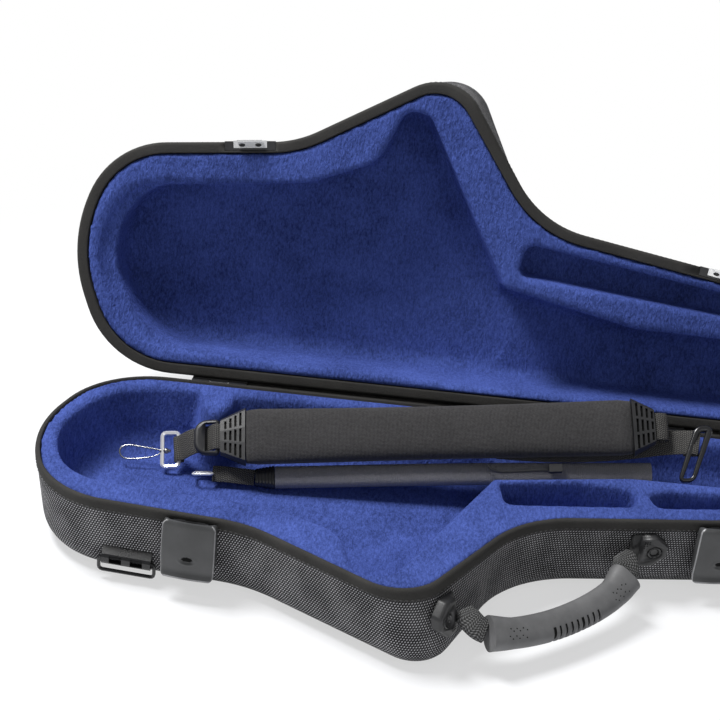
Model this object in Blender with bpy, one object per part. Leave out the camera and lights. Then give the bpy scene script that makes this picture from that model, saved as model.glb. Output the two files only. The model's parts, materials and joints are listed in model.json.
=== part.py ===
"""Open, shaped hard case for an alto saxophone.

Frame: metres, +Z up, +X towards the narrow neck end, -Y towards the latches and
the handle. The origin is on the flat bottom. The lid stands open at its hinge stop.
Lengths below are in millimetres and angles in degrees, unless a name says otherwise.
"""
import math

import bmesh
import bpy
from mathutils import Matrix, Vector

for leftover in list(bpy.data.objects):
    bpy.data.objects.remove(leftover, do_unlink=True)

MM = 0.001

# Both halves share one outline, given as (x, y, corner radius).
OUTLINE = [
    (-290.7, 100.0, 110.0), (-333.4, -5.4, 134.8), (-301.8, -96.6, 97.4), (-143.0, -113.7, 96.6),
    (-13.7, -190.4, 42.3), (76.3, -65.3, 93.8), (328.0, -25.2, 46.0), (328.0, 100.0, 52.0),
]
BELL_CORNER = 4
BELL_SHIFT = (28.0, -14.0)      # how far the bell corner swells out at the bottom
DRAFT = 8.0                     # how far the walls lean in, from rim to bottom
BACK_CORNERS = (0, 7)           # the wall between these stays upright
EDGE_RADIUS = 22.0              # rounding between wall and bottom
BACK_SQUARE = 0.7               # share of that rounding left out at the back wall
RIM_Z = 74.0                    # top of the base's rim
LID_GAP = 0.6                   # between the two rims when the case is shut
LID_DEPTH = 78.0
BASE_WALL = 6.4
LID_WALL = 4.4
LINER_GAP = 7.8                 # liner's outer face, inside the shell's outer face
BINDING_HEIGHT = 10.5
BASE_BINDING = 3.4              # width of the rim binding; the plush comes close to the edge here
LID_BINDING = 8.6
LID_OPEN = 108.0
HINGE_OUT = 4.6                 # hinge axis, behind the rim
HINGE_Z = RIM_Z - 5.7
HINGE_Y = 100.0 + HINGE_OUT

# Hollows for the instrument, as outlines at the rim and, for the main one, at its floor.
BODY_RIM = [
    (-276.0, 84.0, 80.0), (-316.0, 0.0, 100.0), (-290.0, -66.0, 52.0), (-128.0, -80.0, 60.0),
    (-70.0, -104.0, 34.0), (-54.0, -160.0, 14.0), (-27.0, -153.0, 15.0), (50.0, -8.0, 26.0),
    (74.0, 84.0, 20.0),
]
BODY_FLOOR = [
    (-262.0, 62.0, 64.0), (-290.0, 0.0, 80.0), (-266.0, -46.0, 40.0), (-126.0, -60.0, 50.0),
    (-62.0, -86.0, 32.0), (-51.0, -140.0, 12.0), (-31.0, -134.0, 12.0), (36.0, 2.0, 24.0),
    (54.0, 62.0, 16.0),
]
LID_BODY_FLOOR = [
    (-264.0, 68.0, 66.0), (-302.0, 0.0, 88.0), (-279.0, -57.0, 42.0), (-127.0, -70.0, 52.0),
    (-62.0, -94.0, 28.0), (-51.0, -148.0, 12.0), (-30.0, -142.0, 12.0), (42.0, 0.0, 22.0),
    (62.0, 68.0, 16.0),
]
TROUGH = [(6.0, -14.0, 4.0), (60.0, -4.0, 40.0), (168.0, 18.0, 60.0), (304.0, 20.0, 26.0),
          (304.0, 84.0, 26.0), (6.0, 84.0, 4.0)]
NECK_POCKET = [(56.0, -11.0, 7.0), (61.0, -44.0, 7.0), (166.0, -28.0, 10.0), (173.0, -4.0, 9.0),
               (126.0, 1.5, 16.0)]
MOUTHPIECE_POCKET = [(180.0, -8.0, 6.0), (186.0, -26.0, 7.0), (290.0, -8.0, 10.0),
                     (290.0, 7.0, 7.0), (200.0, 1.5, 9.0)]
LID_POCKET = [(61.0, -18.0, 8.0), (66.0, -47.0, 9.0), (290.0, -15.0, 10.0), (292.0, 4.0, 8.0)]
BASE_FLOOR = 60.0               # depths below the rim
LID_FLOOR = 66.0
TROUGH_FLOOR = 38.0
POCKET_FLOOR = 34.0
# Rib in the base's back wall between the bow's and the body's rest.
RIB_AT = (-187.0, 90.0)
RIB_TOP = (15.0, 34.0)          # half width and reach at the rim
RIB_FOOT = (24.0, 42.0)         # and at the floor

parts = bpy.data.collections.new("alto_saxophone_case")
cutters = bpy.data.collections.new("cutters")
for collection in (parts, cutters):
    bpy.context.scene.collection.children.link(collection)


def material(name, colour, roughness, metallic=0.0):
    mat = bpy.data.materials.new(name)
    mat.use_nodes = True
    shader = mat.node_tree.nodes["Principled BSDF"]
    shader.inputs["Base Color"].default_value = (*colour, 1.0)
    shader.inputs["Roughness"].default_value = roughness
    shader.inputs["Metallic"].default_value = metallic
    return mat


WOVEN = material("woven_cover", (0.055, 0.055, 0.058), 0.85)
BAND = material("rim_binding", (0.035, 0.034, 0.033), 0.8)
PLUSH = material("blue_plush", (0.03, 0.05, 0.30), 0.95)
LEVER = material("latch_grey", (0.09, 0.09, 0.09), 0.4)
BLACK = material("black_plastic", (0.02, 0.02, 0.02), 0.45)
STEEL = material("bright_steel", (0.75, 0.75, 0.76), 0.2, 1.0)
GRIP = material("grip_rubber", (0.06, 0.06, 0.063), 0.55)
WEBBING = material("strap_webbing", (0.02, 0.02, 0.02), 0.9)
PAD = material("strap_pad", (0.03, 0.03, 0.03), 0.85)


def rounded(corners, steps=5):
    """Points of a closed outline whose corners are (x, y, radius)."""
    points = []
    for i, (x, y, radius) in enumerate(corners):
        here = Vector((x, y))
        back = Vector(corners[i - 1][:2]) - here
        ahead = Vector(corners[(i + 1) % len(corners)][:2]) - here
        half = back.angle(ahead) / 2
        tangent = min(radius / math.tan(half), 0.49 * back.length, 0.49 * ahead.length)
        radius = tangent * math.tan(half)
        middle = (back.normalized() + ahead.normalized()).normalized()
        centre = here + middle * radius / math.sin(half)
        start = here + back.normalized() * tangent - centre
        end = here + ahead.normalized() * tangent - centre
        turn = math.atan2(start.x * end.y - start.y * end.x, start.dot(end))
        for k in range(steps + 1):
            points.append(centre + Matrix.Rotation(turn * k / steps, 2) @ start)
    return points


def inset(points, distance):
    """Moves each point of a closed outline inwards, square to its neighbours."""
    area = sum(a.x * b.y - b.x * a.y for a, b in zip(points, points[1:] + points[:1]))
    side = 1 if area > 0 else -1
    moved = []
    for i, point in enumerate(points):
        along = (points[(i + 1) % len(points)] - points[i - 1]).normalized()
        moved.append(point + Vector((-along.y, along.x)) * side * distance)
    return moved


def case_outline(depth_share, back=0.0):
    corners = list(OUTLINE)
    x, y, radius = corners[BELL_CORNER]
    corners[BELL_CORNER] = (x + BELL_SHIFT[0] * depth_share, y + BELL_SHIFT[1] * depth_share, radius)
    for i in BACK_CORNERS:
        x, y, radius = corners[i]
        corners[i] = (x, y + DRAFT * depth_share + back, radius)
    return rounded(corners)


def add_object(name, bm, mat, origin=(0, 0, 0), parent=None, smooth=35.0):
    """Makes a named object of a mesh drawn in millimetres; its origin is where it turns."""
    origin = Vector(origin)
    bmesh.ops.translate(bm, verts=bm.verts, vec=-origin)
    bmesh.ops.scale(bm, verts=bm.verts, vec=(MM, MM, MM))
    mesh = bpy.data.meshes.new(name)
    bm.to_mesh(mesh)
    bm.free()
    mesh.shade_smooth()
    mesh.set_sharp_from_angle(angle=math.radians(smooth))
    obj = bpy.data.objects.new(name, mesh)
    parts.objects.link(obj)
    mesh.materials.append(mat)
    obj.location = origin * MM
    if parent:
        obj.location = (origin - Vector(parent["axis_mm"])) * MM
        obj.parent = parent
    return obj


def as_cutter(obj):
    for holder in list(obj.users_collection):
        holder.objects.unlink(obj)
    cutters.objects.link(obj)
    obj.hide_render = True
    obj.display_type = "WIRE"
    return obj


def boolean(obj, other, operation="DIFFERENCE"):
    modifier = obj.modifiers.new(operation.lower(), "BOOLEAN")
    modifier.operation = operation
    modifier.object = as_cutter(other)
    modifier.solver = "EXACT"
    return obj


def loft(rings, caps=True, closed=False):
    """Joins rings of equal point count with quads; caps close both ends."""
    bm = bmesh.new()
    rows = [[bm.verts.new(p) for p in ring] for ring in rings]
    pairs = list(zip(rows, rows[1:]))
    if closed:
        pairs.append((rows[-1], rows[0]))
    count = len(rows[0])
    for low, high in pairs:
        for i in range(count):
            bm.faces.new((low[i], low[(i + 1) % count], high[(i + 1) % count], high[i]))
    if caps:
        bm.faces.new(list(reversed(rows[0])))
        bm.faces.new(rows[-1])
    bm.normal_update()
    bmesh.ops.recalc_face_normals(bm, faces=bm.faces)
    return bm


def hull_rings(gap, top, depth, steps=3):
    """Rings of a half case from its rim down; gap is measured in from the outer face."""
    radius = EDGE_RADIUS - gap
    levels = [(top, 0.0), (top + (depth - EDGE_RADIUS - top) * 0.5, 0.0)]
    for k in range(steps + 1):
        angle = math.pi / 2 * k / steps
        levels.append((depth - EDGE_RADIUS + radius * math.sin(angle), radius * (1 - math.cos(angle))))
    rings = []
    for down, round_in in levels:
        share = down / depth
        outline = inset(case_outline(share, BACK_SQUARE * round_in), gap + DRAFT * share + round_in)
        rings.append([(p.x, p.y, down) for p in outline])
    return rings


def shrunk(corners, by):
    """The same outline with its sides moved in, for the floor of a hollow."""
    area = sum(a[0] * b[1] - b[0] * a[1] for a, b in zip(corners, corners[1:] + corners[:1]))
    side = 1 if area > 0 else -1
    moved = []
    for i, (x, y, radius) in enumerate(corners):
        here = Vector((x, y))
        first = (here - Vector(corners[i - 1][:2])).normalized()
        second = (Vector(corners[(i + 1) % len(corners)][:2]) - here).normalized()
        left = Vector((-first.y, first.x)) * side
        right = Vector((-second.y, second.x)) * side
        spot = here + (left + right) * by / (1 + left.dot(right))
        moved.append((spot.x, spot.y, max(radius - by, 2.0)))
    return moved


def hollow_rings(rim, floor, depth, lip, bottom, lean=0.3, above=8.0, steps=3):
    """Rings of a cutter for a moulded hollow: soft lip, leaning wall, rounded floor."""

    def between(share):
        return rounded([tuple(u + (v - u) * share for u, v in zip(a, b)) for a, b in zip(rim, floor)], 4)

    rings = [(-above, inset(between(0), -lip))]
    for k in range(steps + 1):
        angle = math.pi / 2 * k / steps
        rings.append((1.0 + lip * (1 - math.cos(angle)), inset(between(0), -lip * (1 - math.sin(angle)))))
    for k in range(steps + 1):
        angle = math.pi / 2 * k / steps
        rings.append((depth - bottom + bottom * math.sin(angle), between(lean + (1 - lean) * (1 - math.cos(angle)))))
    return [[(p.x, p.y, down) for p in outline] for down, outline in rings]


def to_base(rings):
    return [[(x, y, RIM_Z - down) for x, y, down in ring] for ring in rings]


def to_lid(rings):
    return [[(x, y, RIM_Z + LID_GAP + down) for x, y, down in ring] for ring in rings]


# The lid's pieces are drawn shut and hang on this empty, which lies on the hinge
# axis and is turned to the open pose.
lid_axis = bpy.data.objects.new("lid_axis", None)
parts.objects.link(lid_axis)
lid_axis["axis_mm"] = (0.0, HINGE_Y, HINGE_Z)
lid_axis.location = Vector(lid_axis["axis_mm"]) * MM
lid_axis.rotation_euler.x = -math.radians(LID_OPEN)


def half_shell(name, depth, wall, place, parent=None):
    top = BINDING_HEIGHT + 0.3
    inner = hull_rings(wall, top, depth)
    rings = list(reversed(inner)) + hull_rings(0.0, top, depth)
    return add_object(name, loft(place(rings)), WOVEN, parent=parent)


def binding(name, width, depth, place, parent=None):
    """The padded strip around a rim, swept along the outline as a closed ring."""
    height = BINDING_HEIGHT
    profile = [(width, 0.0), (width, height), (0.2, height), (-0.8, height - 2), (-0.9, 3.0), (0.2, 0.9),
               (1.8, 0.0)]
    rows = []
    for inward, down in profile:
        share = down / depth
        outline = inset(case_outline(share), inward + DRAFT * share)
        rows.append([(p.x, p.y, down) for p in outline])
    return add_object(name, loft(place(rows), caps=False, closed=True), BAND, parent=parent)


def liner(name, width, depth, place, hollows, parent=None):
    """Moulded block under the plush; its flange ends at the rim binding, its sides at the shell."""
    step = BINDING_HEIGHT + (0.2 if width > LINER_GAP else -0.4)
    rings = []
    for down in (0.8, step):
        outline = inset(case_outline(down / depth), width + 0.6 + DRAFT * down / depth)
        rings.append([(p.x, p.y, down) for p in outline])
    rings += hull_rings(LINER_GAP, step + 0.3, depth)
    block = add_object(name, loft(place(rings)), PLUSH, parent=parent)
    for label, rim, floor, down, lip, bottom in hollows:
        rings = place(hollow_rings(rim, floor, down, lip, bottom))
        boolean(block, add_object(name + "_" + label, loft(rings), PLUSH, parent=parent))
    return block


def rib_on(block):
    """Leaning oval pillar that closes the neck between two parts of the hollow."""
    rings = []
    for share in (0.0, 0.5, 0.9, 1.0):
        crown = 0.82 if share == 1.0 else 1.0
        z = RIM_Z - BASE_FLOOR - 3.0 + (BASE_FLOOR + 1.6) * share
        ring = []
        for k in range(20):
            angle = 2 * math.pi * k / 20
            wide, reach = (f + (t - f) * share for f, t in zip(RIB_FOOT, RIB_TOP))
            y = min(reach * crown * math.sin(angle), 0.0)
            ring.append((RIB_AT[0] + wide * crown * math.cos(angle), RIB_AT[1] + y, z))
        rings.append(ring)
    return boolean(block, add_object("rib", loft(rings), PLUSH), "UNION")


half_shell("base_shell", RIM_Z, BASE_WALL, to_base)
binding("base_binding", BASE_BINDING, RIM_Z, to_base)
base_liner = liner("base_liner", BASE_BINDING, RIM_Z, to_base, [
    ("body", BODY_RIM, BODY_FLOOR, BASE_FLOOR, 6.0, 22.0),
    ("trough", TROUGH, shrunk(TROUGH, 15.0), TROUGH_FLOOR, 6.0, 16.0),
    ("neck", NECK_POCKET, shrunk(NECK_POCKET, 5.0), POCKET_FLOOR, 2.5, 8.0),
    ("mouthpiece", MOUTHPIECE_POCKET, shrunk(MOUTHPIECE_POCKET, 3.5), POCKET_FLOOR, 2.5, 6.0),
])
rib_on(base_liner)
half_shell("lid_shell", LID_DEPTH, LID_WALL, to_lid, lid_axis)
lid_binding = binding("lid_binding", LID_BINDING, LID_DEPTH, to_lid, lid_axis)
lid_trough_floor = [(x, y + 8.0 if y > 60 else y, radius) for x, y, radius in shrunk(TROUGH, 16.0)]
liner("lid_liner", LID_BINDING, LID_DEPTH, to_lid, [
    ("body", BODY_RIM, LID_BODY_FLOOR, LID_FLOOR, 6.0, 17.0),
    ("trough", TROUGH, lid_trough_floor, LID_FLOOR - 3.0, 5.5, 22.0),
    ("pocket", LID_POCKET, shrunk(LID_POCKET, 5.0), POCKET_FLOOR, 3.0, 9.0),
], lid_axis)


def box(size, centre):
    bm = bmesh.new()
    bmesh.ops.create_cube(bm, size=1.0)
    bmesh.ops.scale(bm, verts=bm.verts, vec=size)
    bmesh.ops.translate(bm, verts=bm.verts, vec=centre)
    return bm


def rod(start, end, radius, sides=14):
    start, end = Vector(start), Vector(end)
    bm = bmesh.new()
    bmesh.ops.create_cone(bm, cap_ends=True, segments=sides, radius1=radius, radius2=radius,
                          depth=(end - start).length)
    turn = (end - start).to_track_quat("Z", "Y").to_matrix().to_4x4()
    bmesh.ops.transform(bm, matrix=Matrix.Translation((start + end) / 2) @ turn, verts=bm.verts)
    return bm


def prism(profile, axis_from, axis_to, place):
    """Extrudes a flat profile between two stations; place maps (station, a, b) to a point."""
    return loft([[place(axis_from, a, b) for a, b in profile], [place(axis_to, a, b) for a, b in profile]])


def flat(u, n, z):
    return u, n, z


def wall_n(z):
    """How far out of the rim's face a drafted wall of the base stands at height z."""
    return -DRAFT * (RIM_Z - z) / RIM_Z


def wall_frame(x, y, along, lean=0.0, level=0.0):
    """Frame on a wall: (u along it, n out of it, z up), starting at a rim point."""
    along = Vector((*along, 0)).normalized()
    out = Vector((along.y, -along.x, 0))
    start = Vector((x, y, 0))
    return lambda u, n, z: start + along * u + out * (n + lean * (z - level)) + Vector((0, 0, z))


def turned(bm, place):
    """Moves a mesh drawn in (u, n, z) onto its wall."""
    for vert in bm.verts:
        vert.co = place(*vert.co)
    bm.normal_update()
    bmesh.ops.recalc_face_normals(bm, faces=bm.faces)
    return bm


# Latches, in wall coordinates: u along the wall, n out of the rim's outer face, z up.
LATCH_WIDTH = 41.0
LEVER_PIVOT = (5.6, RIM_Z - 5.0)
CLAW_PIVOT = (5.4, RIM_Z - 15.0)
LEVER_PROFILE = [(9.8, -1.6), (10.6, -8.0), (11.3, -20.0), (11.4, -32.0), (10.9, -40.0), (10.4, -45.0),
                 (11.4, -48.5), (13.0, -51.5)]
LEVER_SKIN = 2.2
FLANGE = 1.8


def pivot_empty(name, point, parent=None):
    empty = bpy.data.objects.new(name, None)
    parts.objects.link(empty)
    empty["axis_mm"] = tuple(point)
    empty.location = Vector(point) * MM
    if parent:
        empty.location = (Vector(point) - Vector(parent["axis_mm"])) * MM
        empty.parent = parent
    return empty


def latch(side, x, y, along):
    place = wall_frame(x, y, along)
    half = LATCH_WIDTH / 2

    wedge = [(wall_n(z) + 0.3, z) for z in (RIM_Z - 11.2, RIM_Z - 48)] + [(2.2, RIM_Z - 48), (2.2, RIM_Z - 11.2)]
    mount = add_object("latch_mount_" + side, turned(prism(wedge, -17.0, 17.0, flat), place), BLACK)
    for sign in (-1, 1):
        u = sign * (half - FLANGE - 1.4)
        ear = turned(prism([(1.0, RIM_Z - 20), (7.2, RIM_Z - 9), (7.9, RIM_Z - 5), (6.6, RIM_Z - 2.8),
                            (4.4, RIM_Z - 2.8), (1.0, RIM_Z - 10)], u - 0.9, u + 0.9,
                           flat), place)
        boolean(mount, add_object("ear", ear, BLACK), "UNION")
        boss = turned(rod((u, *LEVER_PIVOT), (sign * half, *LEVER_PIVOT), 1.6), place)
        boolean(mount, add_object("boss", boss, BLACK), "UNION")

    lever_axis = pivot_empty("lever_axis_" + side, place(0, *LEVER_PIVOT))
    columns = 5
    bm = bmesh.new()
    rows = []
    for n, down in LEVER_PROFILE:
        row = []
        for k in range(columns):
            u = -half + LATCH_WIDTH * k / (columns - 1)
            row.append(bm.verts.new((u, n + 1.2 * (1 - (u / half) ** 2), RIM_Z + down)))
        rows.append(row)
    for low, high in zip(rows, rows[1:]):
        for k in range(columns - 1):
            bm.faces.new((low[k], low[k + 1], high[k + 1], high[k]))
    for face in bm.faces:
        face.normal_update()
    if sum(face.normal.y for face in bm.faces) < 0:
        bmesh.ops.reverse_faces(bm, faces=bm.faces)
    bmesh.ops.solidify(bm, geom=bm.faces[:], thickness=LEVER_SKIN)
    lever = add_object("latch_lever_" + side, turned(bm, place), LEVER, place(0, *LEVER_PIVOT), lever_axis)
    for sign in (-1, 1):
        u = sign * (half - FLANGE / 2)
        flange = turned(prism([(2.6, RIM_Z - 3.0), (9.4, RIM_Z - 2.6), (11.0, RIM_Z - 21), (10.4, RIM_Z - 42),
                               (1.0, RIM_Z - 40)], u - FLANGE / 2, u + FLANGE / 2,
                              flat), place)
        boolean(lever, add_object("flange", flange, LEVER, parent=lever_axis), "UNION")
    for pivot, radius in ((LEVER_PIVOT, 2.0), (CLAW_PIVOT, 1.6)):
        hole = turned(rod((-half - 2, *pivot), (half + 2, *pivot), radius), place)
        boolean(lever, add_object("hole", hole, LEVER, parent=lever_axis))
    dimple = bmesh.new()
    bmesh.ops.create_uvsphere(dimple, u_segments=14, v_segments=7, radius=1.0)
    bmesh.ops.scale(dimple, verts=dimple.verts, vec=(5.6, 1.6, 4.4))
    bmesh.ops.translate(dimple, verts=dimple.verts, vec=(0, 12.9, RIM_Z - 35))
    boolean(lever, add_object("dimple", turned(dimple, place), LEVER, parent=lever_axis))

    claw_axis = pivot_empty("claw_axis_" + side, place(0, *CLAW_PIVOT), lever_axis)
    pin = turned(rod((-half + 0.2, *CLAW_PIVOT), (half - 0.2, *CLAW_PIVOT), 1.2, 12), place)
    add_object("latch_pin_" + side, pin, STEEL, place(0, *CLAW_PIVOT), lever_axis)
    claw = add_object("latch_claw_" + side,
                      turned(rod((-14, *CLAW_PIVOT), (14, *CLAW_PIVOT), 2.5), place), STEEL,
                      place(0, *CLAW_PIVOT), claw_axis)
    blade = turned(prism([(3.4, RIM_Z - 15), (3.4, RIM_Z - 4.4), (3.4, RIM_Z - 3.0), (4.9, RIM_Z - 3.0),
                          (4.9, RIM_Z - 15)], -13.6, 13.6, flat), place)
    boolean(claw, add_object("blade", blade, STEEL, parent=claw_axis), "UNION")
    for u in (-8.0, 8.0):
        tooth = turned(prism([(2.2, RIM_Z - 4.3), (4.0, RIM_Z - 4.3), (4.0, RIM_Z - 3.2), (2.4, RIM_Z - 3.2)],
                             u - 3, u + 3, flat), place)
        boolean(claw, add_object("tooth", tooth, STEEL, parent=claw_axis), "UNION")
    bore = turned(rod((-20, *CLAW_PIVOT), (20, *CLAW_PIVOT), 1.5, 16), place)
    boolean(claw, add_object("bore", bore, STEEL, parent=claw_axis))


def keeper(side, x, y, along):
    """Catch plate let into the lid's binding, with a short tongue for the claw."""
    place = wall_frame(x, y, along)
    rim = RIM_Z + LID_GAP
    notch = turned(box((44.6, 14.0, 5.6), (0, 0.2, rim + 1.1)), place)
    boolean(lid_binding, add_object("keeper_notch", notch, BLACK, parent=lid_axis))
    frame = add_object("keeper_frame_" + side, turned(box((44.0, 7.6, 3.4), (0, -2.6, rim + 1.9)), place),
                       BLACK, parent=lid_axis)
    recess = turned(box((29.6, 20.0, 3.2), (0, 5.0, rim + 0.5)), place)
    boolean(frame, add_object("keeper_recess", recess, BLACK, parent=lid_axis))
    plate = add_object("keeper_plate_" + side, turned(box((29.0, 6.4, 1.1), (0, -1.4, rim + 1.2)), place), STEEL,
                       parent=lid_axis)
    tongue = turned(prism([(0.9, rim + 1.5), (2.0, rim + 1.5), (2.0, rim - 5.2), (2.8, rim - 5.6),
                           (2.8, rim - 6.6), (0.9, rim - 6.6)], -11, 11, flat), place)
    boolean(plate, add_object("tongue", tongue, STEEL, parent=lid_axis), "UNION")
    for u in (-7.0, 7.0):
        slot = bmesh.new()
        bmesh.ops.create_cone(slot, cap_ends=True, segments=16, radius1=1.0, radius2=1.0, depth=6.0)
        bmesh.ops.scale(slot, verts=slot.verts, vec=(2.8, 1.5, 1.0))
        bmesh.ops.translate(slot, verts=slot.verts, vec=(u, -2.0, rim + 1.2))
        boolean(plate, add_object("keeper_slot", turned(slot, place), STEEL, parent=lid_axis))


def on_front(x, first, second):
    """Rim point at x on the straight run between two outline corners, and its direction."""
    (x0, y0, _), (x1, y1, _) = OUTLINE[first], OUTLINE[second]
    return x, y0 + (y1 - y0) * (x - x0) / (x1 - x0), (x1 - x0, y1 - y0)


LATCHES = {"left": (-184.3, 2, 3), "right": (238.0, 5, 6)}
for side, spot in LATCHES.items():
    latch(side, *on_front(*spot))
    keeper(side, *on_front(spot[0] + 2.0, *spot[1:]))


# Hinges on the back wall: leaf coordinates are (x, y, z) with the lid shut.
HINGE_X = (-190.0, 200.0)
HINGE_WIDTH = 48.0
KNUCKLE = 3.5
PIN = 1.6


def hinge(side, x):
    back = 100.0 + 1.1
    third = HINGE_WIDTH / 3

    def leaf(name, sign, parent, spans):
        low, high = sorted((HINGE_Z + sign * 5.4, HINGE_Z + sign * 30.0))
        plate = add_object(name, box((HINGE_WIDTH, 1.8, high - low), (x, back + 0.9, (low + high) / 2)), STEEL,
                           parent=parent)
        for start, end in spans:
            tube = rod((x + start, HINGE_Y, HINGE_Z), (x + end, HINGE_Y, HINGE_Z), KNUCKLE)
            boolean(plate, add_object("knuckle", tube, STEEL, parent=parent), "UNION")
            low, high = sorted((HINGE_Z + sign * 1.2, HINGE_Z + sign * 7.0))
            web = box((end - start - 0.6, 1.4, high - low), (x + (start + end) / 2, back + 0.9, (low + high) / 2))
            boolean(plate, add_object("web", web, STEEL, parent=parent), "UNION")
        bore = rod((x - HINGE_WIDTH, HINGE_Y, HINGE_Z), (x + HINGE_WIDTH, HINGE_Y, HINGE_Z), PIN + 0.3)
        boolean(plate, add_object("bore", bore, STEEL, parent=parent))
        for across in (-16.0, 0.0, 16.0):
            level = HINGE_Z + sign * 22.0
            rivet = rod((x + across, 100.3, level), (x + across, back + 2.7, level), 2.7, 8)
            boolean(plate, add_object("rivet", rivet, STEEL, parent=parent), "UNION")
        return plate

    half = HINGE_WIDTH / 2
    leaf("hinge_base_leaf_" + side, -1, None, [(-half, -third / 2 - 0.3), (third / 2 + 0.3, half)])
    leaf("hinge_lid_leaf_" + side, 1, lid_axis, [(-third / 2 + 0.3, third / 2 - 0.3)])
    pin = rod((x - half - 1.2, HINGE_Y, HINGE_Z), (x + half + 1.2, HINGE_Y, HINGE_Z), PIN)
    add_object("hinge_pin_" + side, pin, STEEL)


for side, x in zip(("left", "right"), HINGE_X):
    hinge(side, x)


# Handle: it hangs on a level axis between two brackets on the front wall.
AXIS_FROM = Vector((28.9, -154.9, 47.0))
AXIS_TO = Vector((158.0, -57.4, 47.0))
HANDLE_DROP = 36.0              # how far the handle sags below level
GRIP_RIBS = (0.34, 0.72)        # stretch of the grip that has ribs on its outer side
RIB_DEPTH = 1.5
handle_axis = pivot_empty("handle_axis", AXIS_FROM)
ALONG = (AXIS_TO - AXIS_FROM).normalized()
SPAN = (AXIS_TO - AXIS_FROM).length
LEVEL_OUT = Vector((ALONG.y, -ALONG.x, 0))
OUT = LEVEL_OUT * math.cos(math.radians(HANDLE_DROP)) - Vector((0, 0, math.sin(math.radians(HANDLE_DROP))))
NORMAL = ALONG.cross(OUT)


def handle_point(u, w, h=0.0):
    return AXIS_FROM + ALONG * u + OUT * w + NORMAL * h


def smooth_curve(points, count):
    """Evenly spaced points on a Catmull-Rom curve through a short route."""
    dense = []
    padded = [points[0] * 2 - points[1]] + points + [points[-1] * 2 - points[-2]]
    for a, b, c, d in zip(padded, padded[1:], padded[2:], padded[3:]):
        for k in range(12):
            t = k / 12
            dense.append(0.5 * (2 * b + (c - a) * t + (2 * a - 5 * b + 4 * c - d) * t * t
                                + (3 * b - a - 3 * c + d) * t ** 3))
    dense.append(points[-1])
    steps = [0.0]
    for a, b in zip(dense, dense[1:]):
        steps.append(steps[-1] + (b - a).length)
    out = []
    j = 0
    for k in range(count):
        want = steps[-1] * k / (count - 1)
        while j < len(steps) - 2 and steps[j + 1] < want:
            j += 1
        part = (want - steps[j]) / max(steps[j + 1] - steps[j], 1e-9)
        out.append(dense[j].lerp(dense[j + 1], min(max(part, 0), 1)))
    return out


def tube(path, size_at, up, sides=12, power=2.0):
    """Closed solid along a path; size_at(share) gives its half width and half height."""
    rings = []
    for i, point in enumerate(path):
        ahead = (path[min(i + 1, len(path) - 1)] - path[max(i - 1, 0)]).normalized()
        across = ahead.cross(up).normalized()
        rise = across.cross(ahead).normalized()
        wide, high = size_at(i / (len(path) - 1))
        ring = []
        for k in range(sides):
            angle = 2 * math.pi * (k + 0.5) / sides
            c, s = math.cos(angle), math.sin(angle)
            bulge = (abs(c) ** power + abs(s) ** power) ** (-1 / power)
            ring.append(point + across * wide * c * bulge + rise * high * s * bulge)
        rings.append(ring)
    return loft(rings)


def grip():
    route = [Vector((12, 24, 0)), Vector((32, 30, 0)), Vector((58, 34, 0)), Vector((84, 35, 0)),
             Vector((112, 33, 0)), Vector((136, 28, 0)), Vector((153, 20, 0))]
    stations = smooth_curve(route, 43)
    path = [handle_point(p.x, p.y) for p in stations]

    def size(share):
        end = abs(share - 0.5) * 2
        flare = 1.0 + 0.16 * max(0.0, (end - 0.72) / 0.28)
        return 12.0 * flare, 8.6 * flare

    sides = 12
    bm = tube(path, size, NORMAL, sides=sides, power=2.6)
    bm.verts.ensure_lookup_table()
    for i, centre in enumerate(path):
        if GRIP_RIBS[0] < i / (len(path) - 1) < GRIP_RIBS[1] and i % 2 == 0:
            for vert in bm.verts[i * sides:(i + 1) * sides]:
                if (vert.co - centre).dot(OUT) > 4:
                    vert.co -= OUT * RIB_DEPTH
    return add_object("handle_grip", bm, GRIP, AXIS_FROM, handle_axis)


def handle_strap(name, route, wide, high):
    path = smooth_curve([handle_point(*p) for p in route], 9)

    def size(share):
        swell = math.sin(math.pi * min(share * 1.3, 1.0))
        return wide * (0.55 + 0.45 * swell), high * (0.75 + 0.25 * swell)

    return add_object(name, tube(path, size, NORMAL, sides=10), WEBBING, AXIS_FROM, handle_axis)


grip()
handle_strap("handle_strap_left", [(1.0, 0.0), (1.5, 8.0), (4.8, 16.0), (9.9, 21.8)], 10.0, 5.5)
handle_strap("handle_strap_right", [(SPAN - 2.2, 0.0), (SPAN - 1.6, 6.0), (SPAN - 3.0, 11.6),
                                    (SPAN - 6.8, 17.5)], 11.0, 6.5)


def bracket(side, place, toward):
    """Moulded bracket: a five-sided cap with a mouth for the strap and a rivet seat."""
    outline = [(0, -15), (19, -15), (30, -4), (30, 6), (19, 15), (0, 13)]
    body = turned(prism([(toward * a, 47.0 + b) for a, b in outline], 0.6, 9.0,
                        lambda s, a, b: (a, s, b)), place)
    cap = add_object("handle_bracket_" + side, body, BLACK)
    mouth = turned(box((16.0, 6.6, 22.0), (toward * -1.0, 7.5, 47.0)), place)
    boolean(cap, add_object("mouth", mouth, BLACK))
    seat = turned(rod((toward * 19.0, 5.0, 47.0), (toward * 19.0, 12.0, 47.0), 6.4, 20), place)
    boolean(cap, add_object("seat", seat, BLACK))
    rivet = turned(rod((toward * 19.0, 5.3, 47.0), (toward * 19.0, 10.6, 47.0), 6.0, 20), place)
    return add_object("handle_rivet_" + side, rivet, BLACK)


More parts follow.
